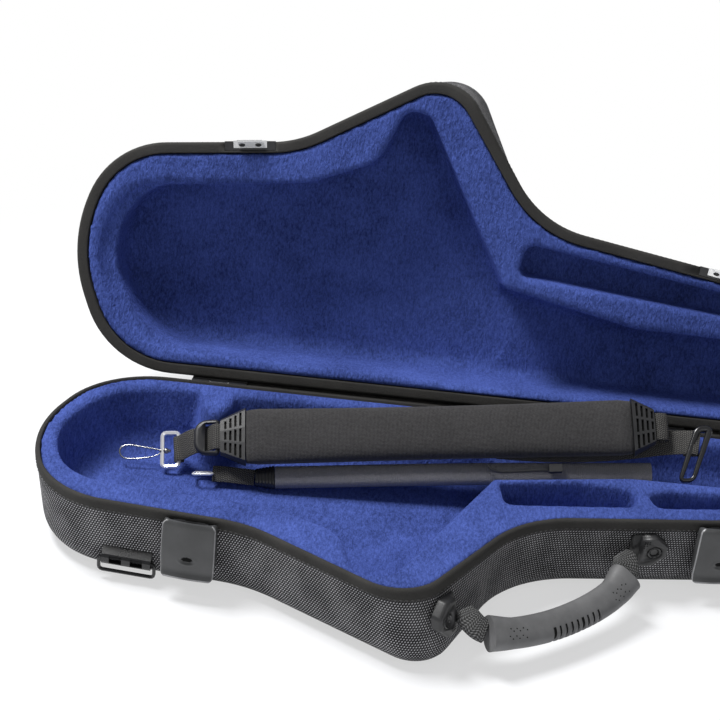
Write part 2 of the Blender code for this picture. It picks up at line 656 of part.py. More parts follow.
def on_wall(first, reach, level):
    """Point on the base's outer face, reach along from an outline corner, with its run."""
    share = (RIM_Z - level) / RIM_Z
    ends = [Vector(OUTLINE[i][:2]) + (Vector(BELL_SHIFT) * share if i == BELL_CORNER else Vector((0, 0)))
            for i in (first, first + 1)]
    run = (ends[1] - ends[0]).normalized()
    return ends[0] + run * reach - Vector((run.y, -run.x)) * DRAFT * share, run


for side, first, reach, toward in (("left", 4, 50.0, -1), ("right", 5, 89.6, 1)):
    spot, run = on_wall(first, reach, 47.0)
    out = Vector((run.y, -run.x))
    lean = (on_wall(first, reach, 57.0)[0] - on_wall(first, reach, 37.0)[0]).dot(out) / 20.0
    bracket(side, wall_frame(spot.x, spot.y, run, lean, 47.0), toward)


# Anchors for the carrying strap: a block low on the front wall, with a hanging ring.
ANCHOR = (40.0, 8.3, 10.0)
ANCHOR_BORE = (-0.5, 21.0)      # out of the wall, height
RING_DROP = 12.0


def wire(name, points, radius, mat, cyclic=False, origin=(0, 0, 0), parent=None):
    """Bent wire as a curve with a round section."""
    origin = Vector(origin)
    curve = bpy.data.curves.new(name, "CURVE")
    curve.dimensions = "3D"
    spline = curve.splines.new("POLY")
    spline.points.add(len(points) - 1)
    for spot, point in zip(spline.points, points):
        spot.co = (*((Vector(point) - origin) * MM), 1.0)
    spline.use_cyclic_u = cyclic
    spline.use_smooth = True
    curve.bevel_depth = radius * MM
    curve.bevel_resolution = 1
    curve.use_fill_caps = True
    curve.materials.append(mat)
    obj = bpy.data.objects.new(name, curve)
    parts.objects.link(obj)
    obj.location = origin * MM
    if parent:
        obj.location = (origin - Vector(parent["axis_mm"])) * MM
        obj.parent = parent
    return obj


def loop_points(width, height, radius, steps=4):
    """Points of a rounded rectangle, centred."""
    w, h = width / 2, height / 2
    return [(p.x, p.y) for p in rounded([(-w, -h, radius), (w, -h, radius), (w, h, radius), (-w, h, radius)],
                                        steps)]


def anchor(side, x, y, along):
    place = wall_frame(x, y, along)
    n, z = ANCHOR_BORE
    block = add_object("strap_anchor_" + side,
                       turned(prism([(-5.2, z - 5), (1.6, z - 4.5), (3.0, z - 2), (3.0, z + 2), (1.6, z + 4.5),
                                     (-4.6, z + 8.5)], -ANCHOR[0] / 2, ANCHOR[0] / 2,
                                    flat), place), BLACK)
    bore = turned(rod((-ANCHOR[0], n, z), (ANCHOR[0], n, z), 2.1, 12), place)
    boolean(block, add_object("bore", bore, BLACK))
    for u in (-8.5, 8.5):
        window = turned(box((10.0, 9.0, 6.4), (u, 1.0, z)), place)
        boolean(block, add_object("window", window, BLACK))
    ring_axis = pivot_empty("ring_axis_" + side, place(0, n, z))
    ring = [place(a, n, z - RING_DROP / 2 + b) for a, b in loop_points(ANCHOR[0] + 5.0, RING_DROP, 3.0, 3)]
    wire("strap_anchor_ring_" + side, ring, 1.5, BLACK, True, place(0, n, z), ring_axis)


anchor("left", *on_front(-235.0, 2, 3))
anchor("right", *on_front(284.0, 5, 6))


# Carrying strap, folded up in the base. Its shoulder pad sets a frame of its own:
# a along the pad, b across it towards the front, c out of its upper face.
PAD_FROM = Vector((-158.0, 41.0, 57.0))
PAD_TO = Vector((168.0, 60.0, 95.2))
PAD_TILT = 42.0
PAD_SIZE = (25.0, 9.0)          # half width and half thickness
PAD_LENGTH = (PAD_TO - PAD_FROM).length
pad_along = (PAD_TO - PAD_FROM).normalized()
pad_across = pad_along.cross(Vector((0, -math.sin(math.radians(PAD_TILT)), math.cos(math.radians(PAD_TILT)))))
pad_across.normalize()
pad_up = pad_across.cross(pad_along)


def pad_point(a, b, c=0.0):
    return PAD_FROM + pad_along * a + pad_across * b + pad_up * c


def strap(name, route, width, thickness=2.2, count=14, mat=WEBBING, up=None):
    path = smooth_curve([Vector(p) for p in route], count)
    return add_object(name, tube(path, lambda share: (width / 2, thickness / 2), up or pad_up, sides=8,
                                 power=8.0), mat)


def shoulder_pad():
    route = smooth_curve([pad_point(0, 0), pad_point(PAD_LENGTH * 0.5, 0, -1.5), pad_point(PAD_LENGTH, 0)], 19)

    def size(share):
        end = min(share, 1 - share)
        full = min(1.0, end / 0.04)
        return PAD_SIZE[0] * (0.95 + 0.05 * full), PAD_SIZE[1] * (0.62 + 0.38 * full)

    return add_object("shoulder_pad", tube(route, size, pad_up, sides=16, power=2.8), PAD)


def grille_cap(name, start, direction, length):
    """Tapered plastic end of the pad, pierced by rows of slots."""
    stations = [start + direction * length * k / 3 for k in range(4)]
    path = [pad_point(a, 0) for a in stations]

    def size(share):
        return 25.5 - 10.0 * share, 7.0 - 2.4 * share

    cap = add_object(name, tube(path, size, pad_up, sides=12, power=5.0), BLACK)
    slots = bmesh.new()
    for column in range(4):
        a = start + direction * (4.0 + 4.3 * column)
        wide = 14.2 - 1.6 * column
        for row in (-1, 0, 1):
            cube = bmesh.ops.create_cube(slots, size=1.0)["verts"]
            bmesh.ops.scale(slots, verts=cube, vec=(2.0, wide - 2.4, 30.0))
            bmesh.ops.translate(slots, verts=cube, vec=(a, row * wide, 0))
    slots = turned(slots, pad_point)
    return boolean(cap, add_object(name + "_slots", slots, BLACK))


def end_loop():
    outline = rounded([(-22.8, -16, 3), (-44.5, -15, 13), (-44.5, 15, 13), (-22.8, 16, 3)], 4)
    rings = [[pad_point(p.x, p.y, c) for p in outline] for c in (-2.6, 2.6)]
    loop = add_object("pad_end_loop", loft(rings), BLACK)
    window = turned(box((9.0, 25.0, 12.0), (-30.5, 0, 0)), pad_point)
    return boolean(loop, add_object("loop_window", window, BLACK))


shoulder_pad()
grille_cap("pad_cap_left", -0.5, -1, 21.5)
grille_cap("pad_cap_right", PAD_LENGTH + 0.5, 1, 19.0)
end_loop()
strap("strap_tab_left", [pad_point(-29.3, 0, -2.6), pad_point(-31.3, 0, 2.2), pad_point(-35.5, 0, 4.9),
                         pad_point(-42, 0.5, 5.2), pad_point(-47.8, 1, 3.0), pad_point(-51.5, 1.5, -3.5),
                         pad_point(-54.5, 2.5, -11), pad_point(-57, 3, -17)], 23.0)
RING_AT = -67.0
strap_ring = [pad_point(RING_AT + a, 4 + b, -20.0) for a, b in loop_points(14.0, 30.0, 3.0, 3)]
wire("strap_square_ring", strap_ring, 1.9, STEEL, True)
hook = [pad_point(-96 + a, 5 + b, -20.0) for a, b in loop_points(37.0, 9.0, 4.4, 5)]
wire("snap_hook_wire", hook, 1.2, STEEL, True)

SLEEVE_FROM = Vector((-130.0, 31.0, 25.5))
SLEEVE_TO = Vector((190.0, 50.0, 57.0))


def lower_sleeve():
    route = smooth_curve([SLEEVE_FROM, SLEEVE_FROM.lerp(SLEEVE_TO, 0.5) + Vector((0, 0, 1.6)), SLEEVE_TO], 25)
    return add_object("lower_sleeve", tube(route, lambda share: (9.6, 7.6), pad_up, sides=12, power=2.4), PAD)


lower_sleeve()
sleeve_along = (SLEEVE_TO - SLEEVE_FROM).normalized()
cap_route = [SLEEVE_FROM - sleeve_along * d for d in (0.5, 8.0, 17.0)]
add_object("sleeve_cap", tube(cap_route, lambda share: (10.0 - 2.5 * share, 6.4 - 2.0 * share), pad_up,
                              sides=10, power=4.0), BLACK)
strap("sleeve_tab", [SLEEVE_FROM - sleeve_along * d + Vector((0, 0, rise)) for d, rise in
                     ((17.8, 0), (30, 1.8), (42, 3.6), (54, 4.6))], 14.0, count=7)
slide_centre = SLEEVE_FROM - sleeve_along * 62.0 + Vector((0, 0, 5.0))
slide = [slide_centre + sleeve_along * a + pad_across * b for a, b in loop_points(12.0, 17.0, 2.5, 3)]
wire("sleeve_slide_ring", slide, 1.4, STEEL, True)

strap("strap_tab_right", [pad_point(PAD_LENGTH + 20.6, 0, 0), pad_point(PAD_LENGTH + 33, 1, 0),
                          pad_point(PAD_LENGTH + 45, 7, -2.5), pad_point(PAD_LENGTH + 53, 14, -5.5)], 23.0)
strap("long_strap", [pad_point(236, 15, -11.8), pad_point(280, 15.5, -11.8), pad_point(325, 18, -11.4),
                     pad_point(360, 23, -10.6), pad_point(374, 26, -10.2)], 21.0)
buckle = []
for a, b in loop_points(11.0, 44.0, 4.0, 4):
    buckle.append(pad_point(387.0 + a - 0.28 * (b + 2), 25.0 + b, -9.5 - 0.08 * b))
wire("strap_end_buckle", buckle, 1.9, BLACK, True)
hook_route = smooth_curve([pad_point(a, b, c) for a, b, c in
                           ((205, 29, -3.5), (209, 33, -4.5), (218, 35, -5.5), (236, 34.6, -5.8),
                            (256, 34.2, -6.0))], 12)
wire("wire_hook", hook_route, 1.2, BLACK)
clip = turned(box((11.0, 6.6, 5.2), (262.6, 33.0, -6.0)), pad_point)
add_object("wire_hook_clip", clip, BLACK)
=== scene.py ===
# Looks of the open alto saxophone case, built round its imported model.
import json
import math

import bmesh
import bpy
from mathutils import Matrix, Vector

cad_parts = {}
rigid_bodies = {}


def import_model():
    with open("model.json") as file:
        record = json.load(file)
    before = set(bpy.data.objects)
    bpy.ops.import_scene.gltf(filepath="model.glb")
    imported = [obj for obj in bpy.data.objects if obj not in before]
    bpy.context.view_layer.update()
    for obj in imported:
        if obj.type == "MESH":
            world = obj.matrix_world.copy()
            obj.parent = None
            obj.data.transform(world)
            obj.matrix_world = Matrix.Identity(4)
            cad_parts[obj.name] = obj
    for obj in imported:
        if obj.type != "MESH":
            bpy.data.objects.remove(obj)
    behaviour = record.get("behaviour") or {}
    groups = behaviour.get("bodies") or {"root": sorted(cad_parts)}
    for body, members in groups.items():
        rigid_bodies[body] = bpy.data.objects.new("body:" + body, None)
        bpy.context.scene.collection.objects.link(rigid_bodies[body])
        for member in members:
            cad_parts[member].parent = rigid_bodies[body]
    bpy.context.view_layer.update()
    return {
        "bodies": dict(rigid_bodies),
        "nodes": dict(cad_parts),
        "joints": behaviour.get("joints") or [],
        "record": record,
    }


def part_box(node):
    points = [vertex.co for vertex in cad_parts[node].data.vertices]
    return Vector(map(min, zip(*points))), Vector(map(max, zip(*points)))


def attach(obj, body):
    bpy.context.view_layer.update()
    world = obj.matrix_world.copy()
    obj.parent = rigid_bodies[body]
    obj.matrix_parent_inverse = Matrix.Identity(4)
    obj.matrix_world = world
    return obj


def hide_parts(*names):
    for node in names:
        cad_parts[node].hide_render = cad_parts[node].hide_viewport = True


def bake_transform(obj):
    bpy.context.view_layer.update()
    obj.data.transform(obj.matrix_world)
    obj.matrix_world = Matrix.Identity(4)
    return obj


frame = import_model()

mm = 0.001


# Finishes

class Value:  # a socket that can be used in sums
    def __init__(self, finish, socket):
        self.finish, self.socket = finish, socket

    def maths(self, operation, *others):
        return self.finish.add("ShaderNodeMath", {"operation": operation}, [self, *others])

    def __rsub__(self, other):
        return self.finish.add("ShaderNodeMath", {"operation": "SUBTRACT"}, [other, self])

    def ripple(self, pitch):  # waves between 0 and 1
        return (self * (math.tau / pitch)).wave() * 0.5 + 0.5

    def step(self, low, high):  # soft step from 0 at low to 1 at high
        return self.finish.add("ShaderNodeMapRange", {"interpolation_type": "SMOOTHSTEP"},
                               {"Value": self, "From Min": low, "From Max": high})


operations = {"__add__": "ADD", "__radd__": "ADD", "__sub__": "SUBTRACT", "__mul__": "MULTIPLY",
              "__truediv__": "DIVIDE", "floor": "FLOOR", "part": "FRACT", "size": "ABSOLUTE", "wave": "SINE",
              "most": "MAXIMUM"}
for name, operation in operations.items():
    setattr(Value, name, lambda self, *others, kind=operation: self.maths(kind, *others))


class Finish:  # one material, or the world, with its nodes
    def __init__(self, name, world=None, **fixed):
        self.material = world or bpy.data.materials.new(name)
        self.material.use_nodes = True
        self.nodes, self.links = self.material.node_tree.nodes, self.material.node_tree.links
        self.shader = self.nodes["Background" if world else "Principled BSDF"]
        for socket, value in fixed.items():
            self.shader.inputs[socket.replace("_", " ")].default_value = value

    def add(self, kind, settings, values, output=0):
        node = self.nodes.new(kind)
        for name, setting in settings.items():
            setattr(node, name, setting)
        for name, value in values.items() if isinstance(values, dict) else enumerate(values):
            self.plug(node.inputs[name], value)
        return Value(self, node.outputs[output])

    def plug(self, socket, value):
        if isinstance(value, Value):
            self.links.new(value.socket, socket)
        else:
            socket.default_value = value

    def set(self, **values):
        for socket, value in values.items():
            self.plug(self.shader.inputs[socket.replace("_", " ")], value)
        return self.material

    def place(self):  # object coordinates, in metres
        return self.add("ShaderNodeTexCoord", {}, {}, "Object")

    def across(self):  # the piece's own map, in millimetres: along and across
        spot = self.add("ShaderNodeUVMap", {"uv_map": "cloth"}, {})
        along = self.add("ShaderNodeSeparateXYZ", {}, [spot])
        return along, Value(self, along.socket.node.outputs[1])

    def noise(self, scale, detail=2.0, rough=0.5, where=None):
        return self.add("ShaderNodeTexNoise", {}, {"Vector": where or self.place(), "Scale": scale,
                                                   "Detail": detail, "Roughness": rough}, "Fac")

    def mix(self, share, one, two):
        return self.add("ShaderNodeMix", {"data_type": "RGBA"}, {0: share, 6: colour(one), 7: colour(two)}, 2)

    def bump(self, height, distance, strength=1.0):  # distance in millimetres
        return self.add("ShaderNodeBump", {}, {"Height": height, "Distance": distance * mm,
                                               "Strength": strength})

    def rays(self, *kinds):  # 1 for rays of these kinds
        found = [self.add("ShaderNodeLightPath", {}, {}, "Is " + kind + " Ray") for kind in kinds]
        share = found[0]
        for other in found[1:]:
            share = share.most(other)
        return share

    def whiteTo(self, share, kind, output):  # plain white in this share, this shader in the rest
        white = self.add(kind, {}, {"Color": (1, 1, 1, 1), "Strength": 1.0})
        plain = Value(self, self.shader.outputs[0])
        self.plug(self.nodes[output].inputs[0], self.add("ShaderNodeMixShader", {}, [share, plain, white]))


def colour(value):
    return value if isinstance(value, Value) else (*value, 1.0)


coverCloth = {"pitch": 2.3, "slants": (0.5, 0.25), "narrow": (2.6, 2.0), "relief": 0.4,
              "dark": (0.008, 0.008, 0.009), "mid": (0.040, 0.039, 0.041), "light": (0.72, 0.71, 0.73)}


def coverFinish():
    finish = Finish("wovenCover", Specular_IOR_Level=0.3)
    along, across = finish.across()
    pitch, (lean, turn), (slim, flat) = (coverCloth[value] for value in ("pitch", "slants", "narrow"))
    row = (across / pitch).floor()
    x = (along / pitch + row * 0.5).part() - 0.5
    y = (across / pitch).part() - 0.5
    thread = 1 - ((x + y * lean).size() * slim + (y - x * turn).size() * flat)  # one raised thread in each cell
    thread = thread.step(-0.15, 0.75)
    wear = finish.noise(35.0, 3.0)
    tone = finish.mix(wear.step(0.35, 0.7), coverCloth["dark"], coverCloth["mid"])
    shine = thread * (wear * 0.9 + 0.35)
    return finish.set(Base_Color=finish.mix(shine, tone, coverCloth["light"]), Roughness=0.9 - thread * 0.25,
                      Normal=finish.bump(thread, coverCloth["relief"]))


bandCloth = {"pitch": 0.9, "relief": 0.18, "dark": (0.012, 0.0115, 0.011), "light": (0.052, 0.050, 0.047)}


def bandFinish():
    finish = Finish("bandCloth", Roughness=0.85, Specular_IOR_Level=0.25)
    rib, cord = (way.ripple(bandCloth["pitch"]) for way in finish.across())
    grain = finish.noise(700.0, 2.0)
    worn = finish.noise(28.0, 3.0).step(0.4, 0.75)
    shade = rib * 0.35 + cord * 0.25 + grain * 0.4 + worn * 0.25
    return finish.set(Base_Color=finish.mix(shade, bandCloth["dark"], bandCloth["light"]),
                      Normal=finish.bump(rib * 0.5 + cord * 0.5 + grain, bandCloth["relief"]))


plushCloth = {"deep": (0.013, 0.022, 0.088), "lit": (0.082, 0.129, 0.445), "pile": 0.8,
              "nap": (1.0, 0.45, 0.45)}


def plushFinish():
    finish = Finish("bluePlush", Roughness=1.0, Specular_IOR_Level=0.08, Sheen_Weight=0.22, Sheen_Roughness=0.5,
                    Sheen_Tint=(0.18, 0.28, 1.0, 1.0))
    where = finish.place()
    brushed = finish.noise(8.0, 3.0, 0.6, where)
    strokes = finish.noise(38.0, 3.0, 0.6, where)
    nap = finish.add("ShaderNodeMapping", {}, {"Vector": where, "Scale": plushCloth["nap"]})
    pile = finish.noise(900.0, 2.0, 0.75, nap).step(0.3, 0.7)
    tuft = finish.noise(420.0, 2.0, 0.6, nap).step(0.32, 0.68)
    shade = brushed.step(0.3, 0.72) * 0.26 + strokes.step(0.3, 0.7) * 0.16 + pile * 0.34 + tuft * 0.26
    return finish.set(Base_Color=finish.mix(shade, plushCloth["deep"], plushCloth["lit"]),
                      Normal=finish.bump(pile * 0.6 + tuft, plushCloth["pile"], 0.6))


def satinFinish(name, tone, worn, roughness, grain=1500.0, metallic=0.0, relief=0.05, gloss=0.5):
    finish = Finish(name, Metallic=metallic, Specular_IOR_Level=gloss)
    where = finish.place()
    speck = finish.noise(grain, 2.0, 0.6, where)
    patch = finish.noise(42.0, 4.0, 0.6, where)
    scuff = finish.noise(190.0, 5.0, 0.75, where).step(0.6, 0.8)
    shade = patch.step(0.3, 0.75) * 0.5 + speck * 0.25 + scuff * 0.4
    return finish.set(Base_Color=finish.mix(shade, tone, worn), Normal=finish.bump(speck, relief),
                      Roughness=roughness + speck * 0.12 - scuff * 0.08)


brightMetal = {"metallic": 0.55, "dull": (0.80, 0.80, 0.81), "clean": (0.93, 0.93, 0.93), "relief": 0.03}


def brightFinish():
    finish = Finish("brightPlate", Metallic=brightMetal["metallic"])
    where = finish.place()
    haze = finish.noise(60.0, 4.0, 0.6, where)
    scratch = finish.noise(800.0, 3.0, 0.7, where).step(0.55, 0.8)
    return finish.set(Base_Color=finish.mix(haze, brightMetal["dull"], brightMetal["clean"]),
                      Roughness=0.12 + haze * 0.1 + scratch * 0.15,
                      Normal=finish.bump(haze, brightMetal["relief"]))


def webFinish(name, pitch, dark, light, share=0.55):
    finish = Finish(name, Roughness=0.85, Specular_IOR_Level=0.25)
    along, across = finish.across()
    chevron = (across / (pitch * 3.2)).part() - 0.5
    x = (along / pitch + chevron.size() * 2.4).part() - 0.5
    y = (across / (pitch * 0.8)).part() - 0.5
    thread = (1 - (x.size() * 1.7 + y.size() * 1.3)).step(0.0, 0.9)
    fuzz = finish.noise(600.0, 2.0)
    return finish.set(Base_Color=finish.mix(thread * share + fuzz * 0.25, dark, light),
                      Normal=finish.bump(thread + fuzz * 0.3, 0.25))


padCloth = {"pitch": 1.15, "sway": 2.3, "relief": 0.16,
            "dark": (0.004, 0.004, 0.004), "light": (0.085, 0.082, 0.084)}


def padFinish():
    finish = Finish("padCloth", Roughness=0.9, Specular_IOR_Level=0.2, Sheen_Weight=0.15, Sheen_Roughness=0.4)
    along, across = finish.across()
    bend = (along * (math.tau / padCloth["sway"])).wave() * 0.9
    course = (across * (math.tau / padCloth["pitch"]) + bend).wave() * 0.5 + 0.5
    wale = along.ripple(padCloth["pitch"])
    dust = finish.noise(20.0, 4.0, 0.6)
    fuzz = finish.noise(480.0, 3.0, 0.7).step(0.3, 0.7)
    shade = course * 0.42 + wale * 0.22 + fuzz * 0.2 + dust * 0.3 - 0.09
    return finish.set(Base_Color=finish.mix(shade, padCloth["dark"], padCloth["light"]),
                      Normal=finish.bump(course + wale * 0.5 + fuzz, padCloth["relief"]))


finishes = {
    "woven_cover": coverFinish(),
    "rim_binding": bandFinish(),
    "blue_plush": plushFinish(),
    "latch_grey": satinFinish("latchGrey", (0.040, 0.041, 0.042), (0.072, 0.073, 0.075), 0.30, relief=0.03),
    "black_plastic": satinFinish("blackMoulded", (0.012, 0.012, 0.013), (0.040, 0.040, 0.042), 0.36),
    "bright_steel": brightFinish(),
    "grip_rubber": satinFinish("gripRubber", (0.095, 0.095, 0.097), (0.180, 0.180, 0.183), 0.44, grain=1900.0,
                               relief=0.06),
    "strap_webbing": webFinish("strapWebbing", 1.9, (0.005, 0.005, 0.006), (0.155, 0.150, 0.140), 0.7),
    "strap_pad": padFinish(),
}
handleWeb = webFinish("handleWebbing", 2.4, (0.005, 0.005, 0.005), (0.20, 0.20, 0.20), 0.9)
ribCloth = webFinish("sleeveKnit", 0.8, (0.10, 0.099, 0.102), (0.56, 0.55, 0.57))
glossBlack = satinFinish("glossBlack", (0.010, 0.010, 0.011), (0.026, 0.026, 0.028), 0.16, relief=0.02)
darkSteel = satinFinish("darkSteel", (0.030, 0.030, 0.031), (0.075, 0.075, 0.077), 0.32, metallic=0.9,
                        relief=0.02)
seamThread = satinFinish("seamThread", (0.030, 0.030, 0.031), (0.20, 0.20, 0.20), 0.6)
# painted highlight: a lighter finish for the lever's side and bottom edges, standing in for light caught by
# their rounded edges
paintedEdgeHighlight = satinFinish("paintedEdgeHighlight", (0.17, 0.17, 0.175), (0.42, 0.42, 0.43), 0.28)
wireSteel = satinFinish("wireSteel", (0.20, 0.20, 0.20), (0.52, 0.52, 0.52), 0.18, metallic=0.9, relief=0.01)
# near-black, low-gloss finish that paints shade: in the grip's grooves, behind the cap's slots and in the
# lever's slit; the small dots on the grip and brackets take it too
dotsAndPaintedShade = satinFinish("dotsAndPaintedShade", (0.003, 0.003, 0.003), (0.009, 0.009, 0.009), 0.6, gloss=0.12)
print("finishes ready")

slotOf = {part["node"]: part["material_slot"] for part in frame["record"]["subparts"]}
for name, node in frame["nodes"].items():
    node.data.materials.clear()
    finish = finishes[slotOf[name]]
    if name.startswith(("hinge_", "latch_claw", "latch_pin")):
        finish = darkSteel
    elif name.startswith("strap_anchor"):
        finish = glossBlack
    node.data.materials.append(finish)


# Shapes

def roundedOutline(corners, steps):
    points = []
    for i, (x, y, radius) in enumerate(corners):
        here = Vector((x, y))
        back = Vector(corners[i - 1][:2]) - here
        ahead = Vector(corners[(i + 1) % len(corners)][:2]) - here
        half = back.angle(ahead) / 2
        tangent = min(radius / math.tan(half), 0.49 * back.length, 0.49 * ahead.length)
        middle = (back.normalized() + ahead.normalized()).normalized()
        centre = here + middle * tangent / math.cos(half)
        start = here + back.normalized() * tangent - centre
        end = here + ahead.normalized() * tangent - centre
        turn = math.atan2(start.x * end.y - start.y * end.x, start.dot(end))
        points += [centre + Matrix.Rotation(turn * k / steps, 2) @ start for k in range(steps + 1)]
    return points


def insetOutline(points, distance):
    area = sum(a.x * b.y - b.x * a.y for a, b in zip(points, points[1:] + points[:1]))
    side = 1 if area > 0 else -1
    moved = []
    for i, point in enumerate(points):
        along = (points[(i + 1) % len(points)] - points[i - 1]).normalized()
        moved.append(point + Vector((-along.y, along.x)) * side * distance)
    return moved


def fromRings(name, rings, slot, body=None, node=None, finish=None, sharp=None, loop=False, start=0):
    # rings are points in millimetres; the cloth map runs along each ring, from point start, and ring to ring
    bm = bmesh.new()
    layer = bm.loops.layers.uv.new("cloth")
    rows = [[bm.verts.new(Vector(p) * mm) for p in ring] for ring in rings]
    count = len(rows[0])
    around = []
    for ring in rings:
        run = [0.0]
        for a, b in zip(ring, ring[1:] + ring[:1]):
            run.append(run[-1] + (Vector(a) - Vector(b)).length)
        around.append([far - run[start] for far in run])
    down = [0.0]
    for one, two in zip(rings, rings[1:] + rings[:1]):
        down.append(down[-1] + sum((Vector(a) - Vector(b)).length for a, b in zip(one, two)) / count)
    for r in range(len(rows) if loop else len(rows) - 1):
        low, high = rows[r], rows[(r + 1) % len(rows)]
        near, far = around[r], around[(r + 1) % len(rows)]
        for i in range(count):
            j = (i + 1) % count
            face = bm.faces.new((low[i], low[j], high[j], high[i]))
            for corner, spot in zip(face.loops, ((near[i], down[r]), (near[i + 1], down[r]),
                                                 (far[i + 1], down[r + 1]), (far[i], down[r + 1]))):
                corner[layer].uv = spot
    if not loop:
        for row in (rows[0][::-1], rows[-1]):
            face = bm.faces.new(row)
            face.normal_update()
            across = Vector((1.0, 0.0, 0.0) if abs(face.normal.x) < 0.9 else (0.0, 1.0, 0.0))
            up = face.normal.cross(across)
            up.normalize()
            if up.y + up.z < 0.0:
                up.negate()
            for corner in face.loops:
                corner[layer].uv = (corner.vert.co.dot(across) / mm, corner.vert.co.dot(up) / mm)
    bm.normal_update()
    bmesh.ops.recalc_face_normals(bm, faces=bm.faces)
    if bm.calc_volume(signed=True) < 0:
        bmesh.ops.reverse_faces(bm, faces=bm.faces)
    piece = finished(name, bm, finish or finishes[slot], sharp)
    return placed(piece, body, node) if body else piece


def finished(name, bm, finish, sharp=None):
    mesh = bpy.data.meshes.new(name)
    bm.to_mesh(mesh)
    bm.free()
    mesh.shade_smooth()
    if sharp:
        mesh.set_sharp_from_angle(angle=math.radians(sharp))
    piece = bpy.data.objects.new(name, mesh)
    bpy.context.scene.collection.objects.link(piece)
    mesh.materials.append(finish)
    return piece


def placed(piece, body, node=None):
    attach(piece, body)
    if node:
        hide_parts(node)
    return piece


def settled(piece):  # modifiers become plain mesh
    bpy.context.view_layer.update()
    graph = bpy.context.evaluated_depsgraph_get()
    mesh = bpy.data.meshes.new_from_object(piece.evaluated_get(graph))
    piece.modifiers.clear()
    piece.data = mesh
    return piece


def smoothRoute(points, count):
    dense = []
    padded = [points[0] * 2 - points[1]] + points + [points[-1] * 2 - points[-2]]
    for a, b, c, d in zip(padded, padded[1:], padded[2:], padded[3:]):
        for k in range(16):
            t = k / 16
            dense.append(0.5 * (2 * b + (c - a) * t + (2 * a - 5 * b + 4 * c - d) * t * t
                                + (3 * b - a - 3 * c + d) * t ** 3))
    dense.append(points[-1])
    steps = [0.0]
    for a, b in zip(dense, dense[1:]):
        steps.append(steps[-1] + (b - a).length)
    spots, j = [], 0
    for k in range(count):
        want = steps[-1] * k / (count - 1)
        while j < len(steps) - 2 and steps[j + 1] < want:
            j += 1
        share = (want - steps[j]) / max(steps[j + 1] - steps[j], 1e-9)
        spots.append(dense[j].lerp(dense[j + 1], min(max(share, 0), 1)))
    return spots


def roundSection(sides, power):  # cosine, sine and bulge at each side; power 2 is a circle, more is squarer
    turns = [math.tau * (k + 0.5) / sides for k in range(sides)]
    return [(math.cos(t), math.sin(t), (abs(math.cos(t)) ** power + abs(math.sin(t)) ** power) ** (-1 / power))
            for t in turns]


def sweepRings(path, sizeAt, up, sides, power=2.0):
    rings, section = [], roundSection(sides, power)
    for i, point in enumerate(path):
        ahead = (path[min(i + 1, len(path) - 1)] - path[max(i - 1, 0)]).normalized()
        across = ahead.cross(up).normalized()
        rise = across.cross(ahead).normalized()
        wide, high = sizeAt(i / (len(path) - 1))
        rings.append([point + across * wide * c * bulge + rise * high * s * bulge for c, s, bulge in section])
    return rings


def loopRings(route, up, sectionAt):  # round a closed route; sectionAt gives (out, up) distances at a point
    rings = []
    for i, point in enumerate(route):
        run = (route[(i + 1) % len(route)] - route[i - 1]).normalized()
        out = run.cross(up).normalized()
        rings.append([point + out * a + up * b for a, b in sectionAt(point)])
    return rings


def turnedRings(place, profile, steps=32):  # profile of (radius, height) round a spot's axis
    turns = [math.tau * k / steps for k in range(steps)]
    return [[place(r * math.cos(t), r * math.sin(t), n) for t in turns] for r, n in profile]


def joined(pieces):
    whole = bmesh.new()
    for piece in pieces:
        whole.from_mesh(piece.data)
    piece = pieces[0]
    whole.to_mesh(piece.data)
    whole.free()
    removed(pieces[1:])
    return piece


def cutters(piece, others, operation="DIFFERENCE"):
    for other in others:
        cut = piece.modifiers.new("cut", "BOOLEAN")
        cut.operation, cut.solver, cut.object = operation, "EXACT", other
    return others


def removed(others):
    for other in others:
        bpy.data.objects.remove(other)


def cutAway(piece, others):
    cutters(piece, others)
    settled(piece)
    removed(others)


def block(low, high, place):
    (a, b, c), (d, e, f) = low, high
    rings = [[place(x, y, z) for x, y in ((a, b), (d, b), (d, e), (a, e))] for z in (c, f)]
    return fromRings("block", rings, "black_plastic")


def repeatTree(name, finish):  # puts the stamp on every point, standing on its facing and turned to its run
    tree = bpy.data.node_groups.new(name, "GeometryNodeTree")
    inputs = {}
    for label, kind in (("Points", "Geometry"), ("Stamp", "Object"), ("Size", "Float")):
        socket = tree.interface.new_socket(label, in_out="INPUT", socket_type="NodeSocket" + kind)
        inputs[label] = socket.identifier
    tree.interface.new_socket("Pieces", in_out="OUTPUT", socket_type="NodeSocketGeometry")
    new, link = tree.nodes.new, tree.links.new
    given, result = new("NodeGroupInput"), new("NodeGroupOutput")
    points, stamp, put, real, dress = (new("GeometryNode" + kind) for kind in (
        "MeshToPoints", "ObjectInfo", "InstanceOnPoints", "RealizeInstances", "SetMaterial"))
    link(given.outputs["Points"], points.inputs["Mesh"])
    link(points.outputs[0], put.inputs["Points"])
    link(given.outputs["Stamp"], stamp.inputs["Object"])
    link(stamp.outputs["Geometry"], put.inputs["Instance"])
    turn = None
    for axis, label in (("Z", "facing"), ("X", "run")):
        attribute, align = new("GeometryNodeInputNamedAttribute"), new("FunctionNodeAlignRotationToVector")
        attribute.data_type, align.axis = "FLOAT_VECTOR", axis
        attribute.inputs["Name"].default_value = label
        if turn:
            align.pivot_axis = "Z"
            link(turn.outputs[0], align.inputs["Rotation"])
        link(attribute.outputs["Attribute"], align.inputs["Vector"])
        turn = align
    link(turn.outputs[0], put.inputs["Rotation"])
    link(given.outputs["Size"], put.inputs["Scale"])
    link(put.outputs[0], real.inputs[0])
    link(real.outputs[0], dress.inputs["Geometry"])
    dress.inputs["Material"].default_value = finish
    link(dress.outputs[0], result.inputs[0])
    return tree, inputs


